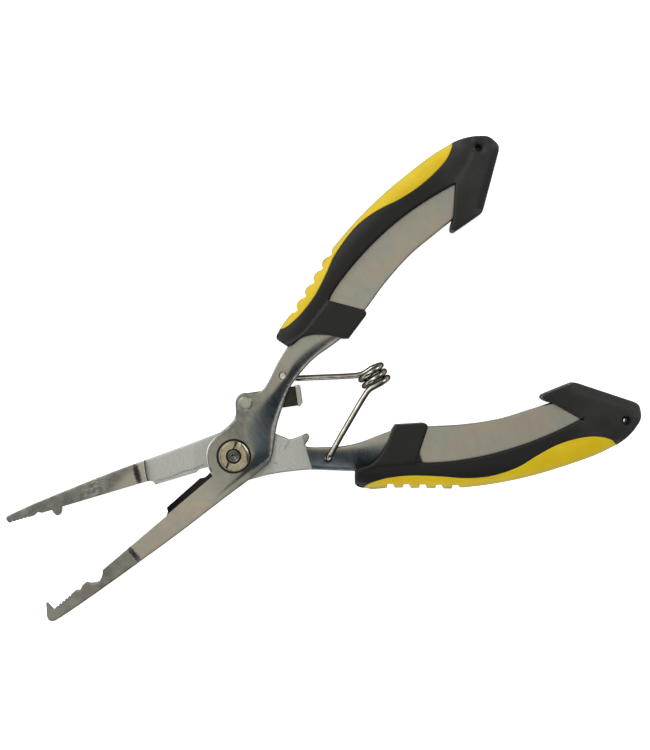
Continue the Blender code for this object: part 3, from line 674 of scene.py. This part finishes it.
def lower_lever_outline():
    """The lower lever: blunt jaw with a peg, side cutter, pivot disc, latch tooth and tang."""
    return outline(
        [(-66, 0), (-66.5, -0.8), (-66.6, -1.6), (-66, -2.05)],
        [(-66, -2.05), (-60, -3), (-50, -4.05), (-36, -5.35), (-20, -6.35),
         (-10, -6.95), (-2.3, -7.5), (4, -7.9)] + ARM_INNER[:-1] + [(15, -1.15), (16.4, 0)],
        [(16.4, 0), (18, 0), (20, -0.2), (21.1, -0.4), (21.75, -0.1), (22, 0.7),
         (21.5, 1.5), (20.2, 2.6)],
        [(20.2, 2.6), (20.4, 3.2), (22, 3.95), (25, 4.8), (29.4, 5.9)] + TANG_INNER,
        TANG_END,
        TANG_OUTER + [(26, 12), (20, 10), (14, 8.75), (8, 7.9), (4, 7.75),
                      (0, 7.7)],
        PIVOT_DISC,
        [(-8, 0.9), (-9.6, 0.8), (-10.9, 0.95), (-11.4, 1.4)],
        [(-11.4, 1.4), (-23.6, 1.4)],
        [(-23.6, 1.4), (-24.1, 0.35), (-25.4, -0.2)],
        [(-25.4, -0.2), (-50.9, -0.15)],
        [(-50.9, -0.15), (-51.3, 1.1), (-52.2, 1.9), (-53.1, 1.1), (-53.5, -0.1)],
        [(-53.5, -0.1), (-56.4, -0.1)],
        [(-56.4, -0.1), (-57.7, -0.6), (-59, 0)],
        [(-59, 0), (FIRST_TOOTH, 0)],
        *teeth(LOWER_TOOTH),
        [(LAST_TOOTH, 0), (-66, 0)],
    )


def ramp_ends(y, ramp):
    """Where a jaw's face starts and stops stepping down, bowed like a cutter's run-out."""
    bow = RAMP_BOW * ((y - JAW_MIDDLE) / JAW_HALF) ** 2
    return ramp[0] - bow, ramp[1] + bow


def ramp_lines(ramp):
    """The two bowed lines between which a jaw's face steps down."""
    y = np.linspace(-7.5, 1.5, 19)
    return [np.column_stack((x, y)) for x in ramp_ends(y, ramp)]


def tip_drop(points, ramp):
    """How far a jaw's face lies below the lever's full thickness."""
    x, y = points.T
    first, last = ramp_ends(y, ramp)
    share = np.clip((first - x) / np.maximum(first - last, 0.05), 0, 1)
    return (LEVER_HALF - TIP_HALF) * share


def across_slope(points, land, flat, beyond):
    """How far points lie from a land and from a flat, and which are on the slope or the land."""
    land_line, flat_line = smooth(land, 1.0), smooth(flat, 1.0)
    on_slope = inside(points, np.vstack((land_line, flat_line[::-1])))
    on_land = inside(points, np.vstack((land_line, np.array(beyond))))
    return distance(points, land_line), distance(points, flat_line), on_slope, on_land


def slope_drop(points, land, flat, beyond, depth):
    """How far the face has sloped down between its flat and its land, and on the land."""
    to_land, to_flat, on_slope, on_land = across_slope(points, land, flat, beyond)
    share = to_flat / np.maximum(to_land + to_flat, 1e-6)
    return depth * np.where(on_land, 1.0, np.where(on_slope, share ** 1.5, 0.0))


def on_slopes(points):
    """How much of the painted dark, bluish reflection each point takes from the outer slope and from the
    inner one. A land takes half.
    """
    reflection_share = []
    for slope in ((OUTER_LAND[3:], OUTER_FLAT[3:], OUTER_LAND_BEYOND[:3]),
                  (INNER_LAND, INNER_FLAT, INNER_LAND_BEYOND)):
        to_land, to_flat, on_slope, on_land = across_slope(points, *slope)
        away = np.minimum(to_land + 1.25, to_flat)
        reflection_share.append(np.where(on_slope, ease(away / 2.5), on_land * 0.5))
    return reflection_share


def outer_face(points, seat):
    """Height of a lever's outer face, with the cutter's bevel and the seat for the pivot nut."""
    x, y = points.T
    depth = np.interp(x, *OUTER_DEPTH)
    height = LEVER_HALF - tip_drop(points, SHORT_RAMP)
    height -= slope_drop(points, OUTER_LAND, OUTER_FLAT, OUTER_LAND_BEYOND, depth)
    height -= np.clip(CHAMFER_WIDTH - distance(points, DISC_EDGE), 0, None) * CHAMFER_SLOPE
    bevel = (x > CUTTER[0]) & (x < CUTTER[1]) & (y > BEVEL_FOOT)
    ground = np.maximum(LEVER_HALF - (y - BEVEL_FOOT) * BEVEL_SLOPE, BEVEL_FLOOR)
    height = np.where(bevel, ground, height)
    if seat:
        radius = np.hypot(x, y)
        chamfer = np.clip((SEAT_RADIUS + SEAT_CHAMFER - radius) * 0.85, 0, None)
        height = np.where(radius < SEAT_RADIUS, SEAT_Z, height - chamfer)
    return height


def in_lap(points, arm_lap):
    """Which points lie on the half-lap: inside its arc and on the jaws' side of a line."""
    loop = np.vstack(([(-40, -14)], arm_lap, [(-40, 14)]))
    return inside(points, loop) & ((points[:, 0] > 0) | (np.hypot(*points.T) < LAP_RADIUS))


def hole_drop(points, hole):
    """How far a face has sunk at the countersink round the spring's hole."""
    radius = np.hypot(*(points - hole).T)
    outer, width, slope = SPRING_SINK
    return np.clip(outer - radius, 0, width) * slope


def inner_face(points, arm_lap):
    """Height of a lever's lapped face."""
    height = LEVER_HALF - tip_drop(points, LONG_RAMP)
    depth = np.interp(points[:, 0], *INNER_DEPTH)
    height -= slope_drop(points, INNER_LAND, INNER_FLAT, INNER_LAND_BEYOND, depth)
    return np.where(in_lap(points, arm_lap), -LAP_GAP, height)


def lever_creases(arm_lap, seat):
    """Lines where a lever's faces turn or step, so that its mesh follows them."""
    creases = [smooth(OUTER_LAND[:-1], 0.6), smooth(INNER_LAND[1:5], 0.6)]
    creases.append(smooth([(x * 0.955, y * 0.955) for x, y in DISC_RIM]))
    for line in LAP_SCARS:
        creases += [smooth([(x, y + offset) for x, y in line], 0.4) for offset in (-0.22, 0.0, 0.22)]
    creases += ramp_lines(SHORT_RAMP) + ramp_lines(LONG_RAMP)
    arc = np.radians(np.linspace(162, 198, 40))
    for step in (-0.03, 0.03):
        radius = LAP_RADIUS + step
        creases.append(radius * np.column_stack((np.cos(arc), np.sin(arc))))
        creases.append(smooth([(x + step, y) for x, y in arm_lap[:2]]))
        if len(arm_lap) > 2:
            creases.append(smooth([(x + step, y) for x, y in arm_lap[1:3]]))
        for end in CUTTER:
            creases.append(smooth([(end + step, BEVEL_FOOT), (end + step, 1.6)], 0.4))
    for y in (BEVEL_FOOT, BEVEL_FOOT + 0.05):
        creases.append(smooth([(CUTTER[0], y), (CUTTER[1], y)], 0.6))
    if seat:
        for radius in (SEAT_RADIUS - 0.02, SEAT_RADIUS + 0.02, SEAT_RADIUS + SEAT_CHAMFER):
            ring = circle((0, 0), radius, 72)
            creases.append(np.vstack((ring, ring[:1])))
    return creases


def inside_only(lines, loop):
    """The stretches of lines that lie inside the loop, as separate lines."""
    kept = []
    for line in lines:
        dense = [line[0]]
        for start, end in segments(line, False):
            count = max(1, int(np.hypot(*(end - start)) / 0.4))
            dense.extend(start + (end - start) * (i + 1) / count for i in range(count))
        dense = np.array(dense)
        clear = inside(dense, loop) & (distance(dense, loop, True) > 0.04)
        turns = np.flatnonzero(np.diff(clear)) + 1
        runs = zip(np.split(dense, turns), np.split(clear, turns))
        kept += [run for run, good in runs if good[0] and len(run) > 1]
    return kept


def lever_rounding(points):
    """Edge radius of a lever, which is small at the cutter, at the teeth and round the disc."""
    x, y = points.T
    radius = np.where((y > -1.5) & (x < -8.0), 0.1, 0.28)
    disc = (np.hypot(x, y) > 6.0) & (y > 0) & (x > -8.2) & (x < 7.0)
    return np.where(disc, 0.1, radius)


def lever(side, name, nodes, loop, hole, arm_lap, seat):
    """A lever's whole surface, its holes and the marks for its finishes and for its painted light and
    shade.
    """
    holes = [circle((0, 0), PIVOT_BORE, 40), circle(hole, SPRING_HOLE, 32)]
    if seat:
        holes.append(circle(RIVET, RIVET_BORE, 24))
        front = lambda p: outer_face(p, True) - hole_drop(p, hole)
        back = lambda p: -inner_face(p, arm_lap)
    else:
        front = lambda p: inner_face(p, arm_lap) - hole_drop(p, hole)
        back = lambda p: -outer_face(p, False)
    lapped = -1.0 if seat else 1.0

    def blast_and_lip_highlight(points, height):
        near = np.abs(height + lapped * LAP_GAP) < 0.02
        radius = np.hypot(*points.T)
        beyond = ease((radius - SPOT_RADIUS) / 0.3)
        # Painted highlight: a light strip on the full face just past the lap's step, on the jaw side
        lip = (radius > LAP_RADIUS) & (radius < LAP_RADIUS + 0.3) & (height * lapped > 1.0)
        lip &= points[:, 0] < 0
        return np.maximum(near * in_lap(points, arm_lap) * (0.82 + 0.18 * beyond), lip * 0.9)

    def scar(points, height):
        near = np.min([distance(points, smooth(line)) for line in LAP_SCARS], axis=0)
        return bulge(near, 0.35, 1.0, 1.5) * (np.abs(height + LAP_GAP) < 0.02) * (not seat)

    # Dark on the cutter's bevel; painted dark reflection on the steps down to the jaw tips; painted
    # shadow on the nut's seat round the nut
    def oxide_and_shade(points, height):
        x, y = points.T
        bevel = (x > CUTTER[0]) & (x < CUTTER[1]) & (y > BEVEL_FOOT + 0.03)
        front_ramp, back_ramp = (SHORT_RAMP, LONG_RAMP) if seat else (LONG_RAMP, SHORT_RAMP)
        drop = np.where(height > 0, tip_drop(points, front_ramp), tip_drop(points, back_ramp))
        ramp = (drop > 0.03) & (drop < LEVER_HALF - TIP_HALF - 0.03)
        well = (np.hypot(x, y) < SEAT_RADIUS) & (height > 0) & seat
        return np.maximum(bevel & (height * lapped < -LAP_GAP - 0.05), ramp * 0.75 + well * 0.95)

    def cool(points, height):
        x, y = points.T
        middle = np.interp(x, *GREY)
        if seat:
            return middle + np.interp(x, *JAW_GREY)
        past_ramp = LONG_RAMP[1] - x - 1.6 * (y + 3.0)
        return middle + np.where(x < LONG_RAMP[0], 0.1 + 0.8 * ease(past_ramp / 6), 0)

    # Painted highlight: the jaw side of the disc's chamfer and the ridge by the outer land are painted
    # light
    def edge(points, height):
        chamfer = ease((CHAMFER_WIDTH + 0.02 - distance(points, DISC_EDGE)) / 0.1)
        ridge = ease((0.55 - distance(points, smooth(OUTER_LAND[7:], 0.6))) / 0.3)
        shine = np.maximum(chamfer * ease((1.0 - points[:, 0]) / 5), ridge * 0.45)
        return shine * (height * lapped < -0.5)

    # Painted reflection: where the slopes' dark, bluish colour goes
    def slope(points, height):
        outer, inner = on_slopes(points)
        return np.where(height * lapped < 0, outer, inner)

    def scuff(points, height):
        return np.exp(-((points[:, 0] + 40.0) / 4.5) ** 2) * (not seat)

    plate(name, side, loop, front, back, nodes, "lever_steel", holes,
          inside_only(lever_creases(arm_lap, seat), loop), lever_rounding,
          marks={made.__name__: made for made in (blast_and_lip_highlight, scar, oxide_and_shade, cool, edge, slope, scuff)})


# ---- grips
# The collar and the end cap of a black moulding, as runs from the front along the inner edge
COLLAR = [[(30.5, 17.3), (31, 15.5), (31.6, 13.7)],
          [(31.6, 13.7), (33, 13.2), (36, 13.1), (38.8, 11.9), (41.2, 9.95), (43.1, 7.9),
           (44.8, 5.6), (46.2, 4.4)],
          [(46.2, 4.4), (54, 6.2)],
          [(54, 6.2), (54.6, 6.7), (54.7, 7.6)],
          [(54.7, 7.6), (48.8, 16.1)]]
CAP_REAR = [(98.6, 7.75), (112.3, 17.3)]
CAP_NOSE = [(112.3, 17.3), (113.2, 18.3), (113.4, 19.8), (112.6, 22.4), (110.1, 24.7),
            (107.5, 26.3), (104.2, 27.65)]
CAP = [[(97.1, 18.2), (90.2, 11.1)],
       [(90.2, 11.1), (88.7, 10.1), (87.8, 8.9), (88.4, 8.1)],
       [(88.4, 8.1), (92, 7.7), (97.5, 7.2)],
       [(97.5, 7.2), (98.6, 7.75)],
       CAP_REAR,
       CAP_NOSE]
BACK = [(30.5, 17.3), (33, 19.15), (38.7, 20.7), (42.8, 21.95), (47.1, 23.3), (51.3, 24.7),
        (55.8, 25.9), (60, 27), (70, 28.55), (80, 29.25), (90, 29.15), (98, 28.7),
        (104.2, 27.65)]
UPPER_WINDOW = [(48.8, 16.1), (51, 17.1), (55, 18.2), (61, 19.4), (70, 20.45),
                (80, 20.6), (90, 19.55), (97.1, 18.2)]
LOWER_WINDOW = [(48.8, 16.1), (51, 16.95), (55, 18), (61, 19.15), (70, 20),
                (80, 19.95), (90, 18.95), (97.1, 17.7)]
UPPER_SEAM = [(33, 18.9), (34.6, 18.2), (38, 18.1), (41, 18.4), (47, 19.8), (53, 22.3),
              (58, 24.7), (65, 26.6), (70, 27.15), (76, 26.5), (82, 25), (88, 24.2),
              (94, 24.2), (99.5, 25), (103, 26.7), (104, 27.7)]
LOWER_SEAM = [(32.4, 18.9), (34, 18.2), (37, 18), (40, 18.1), (46, 19.2), (54, 21.8),
              (60, 24.1), (66, 25.6), (71, 25.9), (76, 25.5), (82, 23.9), (88, 22.7),
              (94, 22.6), (99, 23.5), (103, 25.6), (104.2, 27.65)]
UPPER_RIBS = {"tip": [(33, 19), (35.2, 19.65), (37.2, 20.1)], "foot": [(38.8, 20.25), (39.3, 19.8)],
              "first": (40.4, 19.85), "step": (4.36, 1.44),
              "rib": [(0, 0), (0.3, 1), (0.75, 1.42), (1.6, 1.75), (2.8, 1.78), (3.4, 1.45)]}
LOWER_RIBS = {"tip": [(33, 19.15), (35, 20)], "foot": [(38.8, 20.8), (39.3, 19.75)],
              "first": (40.8, 20.2), "step": (4.38, 1.38),
              "rib": [(0, 0), (0.15, 1.2), (2.3, 1.85), (2.8, 0.95)]}
BAND_EDGE = [(31.2, 15), (33.5, 14.1), (37.5, 13.9), (43, 14.9), (48.8, 16.3)]
BAND_STEP = 0.25
BACK_ROUND = (5.5, 2.7)    # how far from its back a grip starts to round off, and its drop there
REAR_BEVEL = 2.5
REAR_SLOPE = 0.4
RIB_COUNT = 4
CAP_RIDGE = [(97.1, 18.2), (100.9, 19.3), (104.7, 20.9), (108, 23.4), (110.5, 27.5)]


def ribbed_back(tip, foot, first, step, rib):
    """The insert's back from its front end: ribs for the thumb, then a smooth swell."""
    starts = [(first[0] + step[0] * i, first[1] + step[1] * i) for i in range(RIB_COUNT + 1)]
    knots = foot + [(x + u, y + v) for x, y in starts[:-1] for u, v in rib]
    knots += [starts[-1], (58.6, 26.55)]
    ribs = [[start, end] for start, end in zip(knots, knots[1:])]
    return [tip + knots[:1], *ribs, knots[-1:] + [(x, y) for x, y in BACK if x > 59]]


def grip_face(points, back_line, rear, band_zone):
    """Height of a grip: rounded along its back, bevelled along the cap's rear, low on its band."""
    drop = bulge(distance(points, back_line), *BACK_ROUND)
    bevel = np.clip(REAR_BEVEL - distance(points, rear), 0, None) * REAR_SLOPE
    drop = np.maximum(drop, bevel) + BAND_STEP * in_zone(points, band_zone)
    radius = np.hypot(*(points - LANYARD_HOLE).T)
    outer, slope = LANYARD_SINK
    return GRIP_HALF - drop - np.clip(outer - radius, 0, None) * slope


def in_zone(points, zone):
    """1 inside a closed loop and 0 outside it, with a soft border."""
    away = distance(points, zone, True) * np.where(inside(points, zone), 1, -1)
    return ease(away / 0.4 + 0.5)


def backwards(runs):
    """An outline's runs in the other direction."""
    return [run[::-1] for run in reversed(runs)]


def grip(side, prefix, window, seam, ribs, lanyard):
    """A grip: the black moulding round the tang and the yellow insert along its back."""
    back_line = smooth(BACK, 0.8)
    rear = smooth(CAP_REAR + CAP_NOSE[1:3], 0.8)
    insert_back = ribbed_back(**ribs)
    seam_line = smooth(seam, 0.6)

    def edge(points):
        near = distance(points, seam_line)
        return np.where(near < 0.8, 0.22, 0.5)

    black = outline([BACK[0], (31.2, 18.2), seam[0]], seam, *backwards(CAP),
                    [CAP[0][0], window[-1]], window[::-1], *backwards(COLLAR))
    band_zone = np.vstack((smooth(BAND_EDGE, 1.0), smooth(window, 1.0), smooth(CAP_RIDGE, 1.0),
                           [(110, 34), (28, 34), (28, 15)]))

    face = lambda p: grip_face(p, back_line, rear, band_zone)
    under = lambda p: -face(p)

    def band(points, height):
        return in_zone(points, band_zone)

    # Painted sheen along the crease of the cap's rear bevel and along the cap's ridge
    def painted_sheen(points, height):
        crease = np.abs(distance(points, rear) - REAR_BEVEL)
        ridge = distance(points, smooth(CAP_RIDGE, 1.0))
        return bulge(crease, 1.1, 1.0, 1.5) + 0.7 * bulge(ridge, 0.8, 1.0, 1.5)

    rings = (0.04, 0.12, 0.25, 0.42, 0.8, 1.5)
    steps = [smooth([(x, y + offset) for x, y in BAND_EDGE]) for offset in (-0.2, 0.2)]
    plate(prefix + "_grip_body", side, black, face, under, [prefix + "_grip"], "grip_plastic",
          [circle(LANYARD_HOLE, lanyard, 24)], inside_only(steps, black), edge, rings, 0.9,
          {"band": band, "painted_sheen": painted_sheen})
    yellow = outline(*insert_back, [BACK[-1], seam[-1]], seam[::-1], [seam[0], insert_back[0][0]])
    plate(prefix + "_insert_body", side, yellow, face, under, [prefix + "_grip_insert"],
          "grip_rubber", [], [], edge, rings, 0.9)


# ---- pivot and latch
NUT_CENTRE = (0.26, -0.22)
NUT_RADIUS = 4.2
NUT_FRONT = 3.3
NUT_BACK = 1.9
NUT_BORE = 2.1
NUT_RIM = 4.0              # where the front starts to round off, except where it is worn
NUT_WEAR = 0.75
NUT_WORN = np.array((0.93, -0.36))    # the way to where it is worn
SLOT_ALONG, SLOT_BESIDE = axes(29)
SLOT_MIDDLE = 0.25
SLOT_HALF = 0.42
SLOT_FLOOR = 2.95
STUD_MARKS = {"oxide_and_shade": 0.4, "scar": 0.9, "scuff": 1.0}
LATCH_TURN = -32
LATCH_FRONT = -2.8
LATCH_BACK = -4.0
TAB_TOP = 1.6


def nut_height(points):
    """Front of the pivot nut: flat, with a soft rim and the driver slot across it."""
    from_centre = points - NUT_CENTRE
    radius = np.hypot(*from_centre.T)
    worn = ease(from_centre @ NUT_WORN / np.maximum(radius, 0.1) * 2.2 - 1.2)
    rim = np.clip(radius - NUT_RIM + NUT_WEAR * worn, 0, None)
    across = np.abs(points @ SLOT_BESIDE - SLOT_MIDDLE)
    height = NUT_FRONT - rim ** 1.6 * 0.6
    return np.minimum(height, SLOT_FLOOR + np.clip(across - SLOT_HALF, 0, None))


def stud_mark(share):
    """A mark on the bolt's threaded end, in front of its shoulder."""
    return lambda verts: np.where(verts[:, 2] > 1.2, share, 0.0)


def pivot():
    """The bolt with its head behind, its spring washer and the slotted nut in front."""
    head = -LEVER_HALF - 0.15
    bolt = [(0, -MID_Z + 0.15), (3.4, -MID_Z + 0.05), (4.2, -MID_Z), (4.8, -MID_Z + 0.5),
            (5, -MID_Z + 1.2), (5, head), (2.5, head), (2.5, 1.15), (2, 1.15),
            (2, 2.5), (1.8, 2.85), (1.45, 2.95), (1.15, 2.78), (0.8, 2.88), (0.45, 2.68), (0, 2.62)]
    turned("pivot_bolt_body", UPPER, (0, 0), rounded(bolt), ["pivot_bolt"], "lever_steel",
           marks={key: stud_mark(share) for key, share in STUD_MARKS.items()})
    washer = [(2.4, 1.45), (4.3, 1.35), (4.3, 1.65), (2.4, 1.75)]
    turned("pivot_washer_body", UPPER, (0, 0), washer, ["pivot_spring_washer"], "lever_steel",
           closed=True)
    loop = circle(NUT_CENTRE, NUT_RADIUS, 72)
    slot_top = SLOT_HALF + NUT_FRONT - SLOT_FLOOR
    lines = [np.array([SLOT_ALONG * reach + SLOT_BESIDE * (SLOT_MIDDLE + offset)
                       for reach in np.linspace(*span, 5)])
             for offset in (-slot_top, -SLOT_HALF, SLOT_HALF, slot_top)
             for span in ((-4.6, -2), (2, 4.6))]
    clear = [line for line in inside_only(lines, loop)
             if np.hypot(*line.T).min() > NUT_BORE + 0.05]
    plate("pivot_nut_body", UPPER, loop, nut_height, flat_field(NUT_BACK), ["pivot_nut"], "nut_metal",
          [circle((0, 0), NUT_BORE)], clear, 0.12, (0.02, 0.06, 0.12, 0.25), 0.4)


def latch():
    """The latch: an eye round the rivet and a plate that ends in an upturned hook tab."""
    along, beside = axes(LATCH_TURN)

    def placed(points):
        return [tuple(np.array(RIVET) + along * u + beside * v) for u, v in points]

    spread = np.radians(np.linspace(75, 285, 9))
    eye = [(2.9 * math.cos(a), 2.9 * math.sin(a)) for a in spread]
    arm = [(14, -2.8), (14.9, -2.8), (15.8, -1.8), (15.8, 2.4), (15.4, 2.8), (14, 2.8)]
    corners = [eye[-1]] + arm + [eye[0]]
    loop = outline(placed(eye), *[placed(pair) for pair in zip(corners, corners[1:])])
    # Painted shade: the plate behind the lever is painted near black, as if in the lever's shadow
    black = lambda p, z: np.full(len(p), 0.9)
    rings = (0.03, 0.1, 0.2)
    plate("latch_plate", UPPER, loop, flat_field(LATCH_FRONT), flat_field(LATCH_BACK), ["latch"],
          "latch_steel", [circle(RIVET, RIVET_BORE, 24)], [], 0.15, rings, 0.9, {"oxide_and_shade": black},
          "latch")
    tab_corners = [(14.6, -3), (15.1, -3), (16, -2.1), (16, 2.6), (15.6, 3), (14.6, 3),
                   (14.6, -3)]
    tab = outline(*[placed(pair) for pair in zip(tab_corners, tab_corners[1:])])
    # Painted shade on the tab's sides and foot; its sheared top end keeps the steel's colour
    sheared = lambda p, z: np.where(z > TAB_TOP - 0.3, 0.0, 0.9)
    plate("latch_tab", UPPER, tab, flat_field(TAB_TOP), flat_field(LATCH_BACK + 0.2), ["latch"],
          "latch_steel", [], [], 0.15, rings, 0.6, {"oxide_and_shade": sheared}, "latch", 8)


def latch_rivet():
    """The latch's rivet, whose front end is peened over, and the washer behind the latch."""
    washer = [(1.6, -4.4), (2.7, -4.5), (2.7, -4.25), (1.6, -4.15)]
    turned("latch_washer_body", UPPER, RIVET, washer, ["latch_spring_washer"], "lever_steel",
           closed=True)
    rivet = [(0, -5.1), (1.8, -5), (2.3, -4.75), (2.3, -4.65), (1.3, -4.65), (1.3, 2.62),
             (1.95, 2.62), (2, 2.75), (1.8, 2.92), (1.1, 2.98), (0, 3)]
    turned("latch_rivet_body", UPPER, RIVET, rounded(rivet), ["latch_rivet"], "lever_steel", 40)


# ---- spring
def on_row(side, point):
    """Where a point of a closed lever lies at rest, in millimetres from the pivot."""
    return side.place([(*point, 0.0)])[0][:2] * 1000


def elbow(hole, towards, leg_z, tip_z):
    """The wire's end: through its hole, round a bend, and off towards a point."""
    facing = 1.0 if leg_z > tip_z else -1.0
    flat = (np.array(towards) - hole) / np.hypot(*(np.array(towards) - hole))
    path = [(*hole, tip_z)]
    for quarter in np.linspace(0, math.pi / 2, 8):
        out = WIRE_BEND * (1 - math.cos(quarter))
        path.append((*(hole + flat * out), leg_z - facing * WIRE_BEND * (1 - math.sin(quarter))))
    return path


def tube(name, path, radius, nodes, slot, sides=16):
    """A round wire along a path in the row frame, in millimetres."""
    path = np.array(path)
    along = np.gradient(path, axis=0)
    along /= np.linalg.norm(along, axis=1)[:, None]
    up = np.cross(along[0], (0.3, 1.0, 0.2))
    turns = np.arange(sides) * 2 * math.pi / sides
    verts, faces = [], []
    for index, (point, tangent) in enumerate(zip(path, along)):
        up = up - tangent * (up @ tangent)
        up /= np.linalg.norm(up)
        beside = np.cross(tangent, up)
        ring = np.outer(np.cos(turns), up) + np.outer(np.sin(turns), beside)
        verts.append(point + radius * ring)
        if index:
            low = (index - 1) * sides
            faces.extend([low + i, low + (i + 1) % sides, low + sides + (i + 1) % sides,
                          low + sides + i] for i in range(sides))
    faces.append(list(range(sides)))
    faces.append(list(range((len(path) - 1) * sides, len(path) * sides)))
    verts = np.vstack(verts)
    return piece(name, (verts + (0, 0, MID_Z)) * 0.001, faces, nodes, slot, None, verts)


def spring():
    """The spring, one wire: an arm from the upper lever, the coil, and an arm to the lower."""
    upper_leg = [(26.1, 10.9), (31.5, 8.25), (37, 5.55), (41.2, 3.6), (42.7, 3.15), (43.8, 3.1)]
    lower_leg = [(43, -1.5), (41.7, -1.85), (39, -3.35), (34, -6.4), (29, -9.45)]
    path = elbow(on_row(UPPER, UPPER_HOLE), upper_leg[0], -COIL_RADIUS, LEVER_HALF - 0.5)
    path += [(x, y, -COIL_RADIUS) for x, y in upper_leg]
    for degrees in np.linspace(*COIL_TURNS, 73):
        angle = math.radians(degrees)
        path.append((COIL_CENTRE[0] + COIL_RADIUS * math.cos(angle),
                     COIL_TOP - COIL_PITCH * degrees / 360, COIL_RADIUS * math.sin(angle)))
    path += [(x, y, COIL_RADIUS) for x, y in lower_leg]
    path += elbow(on_row(LOWER, LOWER_HOLE), lower_leg[-1], COIL_RADIUS, -LEVER_HALF + 0.1)[::-1]
    wire = tube("spring_wire_body", path, WIRE,
                ["spring_upper_arm", "spring_coil", "spring_lower_arm"], "spring_steel")
    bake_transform(wire)


# ---- surroundings
CAMERA_TURN = 28.4            # the line that the pliers close on rises this much in the view
VIEW_CENTRE = (33.5, 7.93)    # what the camera looks at, in the row frame
CAMERA_LENS = 95.0
CAMERA_HEIGHT = 559.9
DARK_SIDE = -55.0             # where the overhead panel's dark gap is, in degrees in the view
LOW_DARK_SIDE = -10.0         # and where the low sides are dark
WINDOW = (0.877, 0.102, 0.470)    # the way to a small bright window on the right


def camera():
    """The camera straight above the pliers."""
    data = bpy.data.cameras.new("Camera")
    data.lens = CAMERA_LENS
    data.clip_start, data.clip_end = 0.01, 10.0
    made = stand("Camera", data)
    made.location = (VIEW_CENTRE[0] / 1000, VIEW_CENTRE[1] / 1000, (MID_Z + CAMERA_HEIGHT) / 1000)
    made.rotation_euler = (0.0, 0.0, math.radians(-CAMERA_TURN))
    bpy.context.scene.camera = made


def studio():
    """The light tent: warm overhead panel, a dark gap below it to the right with one bright
    window, and bright low sides that are dark on the right too."""
    world = bpy.data.worlds.new("Light tent")
    world.use_nodes = True
    bpy.context.scene.world = world
    tree = world.node_tree
    direction = node(tree, "ShaderNodeTexCoord").outputs["Generated"]
    split = node(tree, "ShaderNodeSeparateXYZ", {0: direction})
    tilt = maths(tree, "MULTIPLY", maths(tree, "ARCCOSINE", split.outputs[2]), 180 / math.pi)
    azimuth = maths(tree, "ARCTAN2", split.outputs[1], split.outputs[0])

    def facing(side):
        """1 towards a side of the view, and -1 away from it."""
        turn = maths(tree, "SUBTRACT", azimuth, math.radians(side - CAMERA_TURN))
        return maths(tree, "COSINE", turn)

    middle = blend(tree, remap(tree, facing(DARK_SIDE), -0.62, -0.38), (0.55, 0.56, 0.55, 1),
                   (0.033, 0.045, 0.06, 1))
    above = blend(tree, remap(tree, tilt, 9.0, 21.0), (1.36, 1.27, 1.08, 1), middle)
    sides = blend(tree, remap(tree, facing(LOW_DARK_SIDE), -0.65, -0.3), (1.8, 1.8, 1.77, 1),
                  (0.2, 0.21, 0.22, 1))
    tent = blend(tree, remap(tree, tilt, 58.0, 78.0), above, sides)
    window = node(tree, "ShaderNodeVectorMath", {0: direction, 1: WINDOW}, operation="DOT_PRODUCT")
    sky = blend(tree, remap(tree, window.outputs["Value"], 0.95, 0.98), tent, (4.2, 4.1, 3.8, 1))
    tree.links.new(sky, tree.nodes["Background"].inputs["Color"])


def soft_light(name, location, energy):
    """A broad soft light that shines at the middle of the pliers."""
    data = bpy.data.lights.new(name, "AREA")
    data.shape = "DISK"
    data.size = 0.5
    data.energy = energy
    made = stand(name, data)
    made.location = location
    towards = Vector((0.03, 0.0, 0.0)) - made.location
    made.rotation_euler = towards.to_track_quat("-Z", "Y").to_euler()


def floor():
    """A plain white table, lit a little from below."""
    material = start_material("White table", Base_Color=(0.9, 0.9, 0.9, 1), Roughness=0.9,
                              Emission_Color=(1, 1, 1, 1), Emission_Strength=0.85)[0]
    mesh = bpy.data.meshes.new("Table")
    rim = circle((40.0, 0.0), 900.0, 96)
    mesh.from_pydata([(x / 1000, y / 1000, -0.0002) for x, y in rim], [], [range(len(rim))])
    mesh.materials.append(material)
    made = stand("Table", mesh)


lever(UPPER, "upper_lever_body", ["upper_lever"], upper_lever_outline(), UPPER_HOLE,
      UPPER_ARM_LAP, True)
lever(LOWER, "lower_lever_body", ["lower_lever"], lower_lever_outline(), LOWER_HOLE,
      LOWER_ARM_LAP, False)
grip(UPPER, "upper", UPPER_WINDOW, UPPER_SEAM, UPPER_RIBS, UPPER_LANYARD)
grip(LOWER, "lower", LOWER_WINDOW, LOWER_SEAM, LOWER_RIBS, LOWER_LANYARD)
pivot()
latch()
latch_rivet()
spring()
camera()
studio()
soft_light("Key", (-0.15, 0.55, 0.65), 2.1)
soft_light("Fill", (-0.30, -0.62, 0.20), 1.5)
floor()
bpy.context.scene.view_settings.view_transform = "Standard"
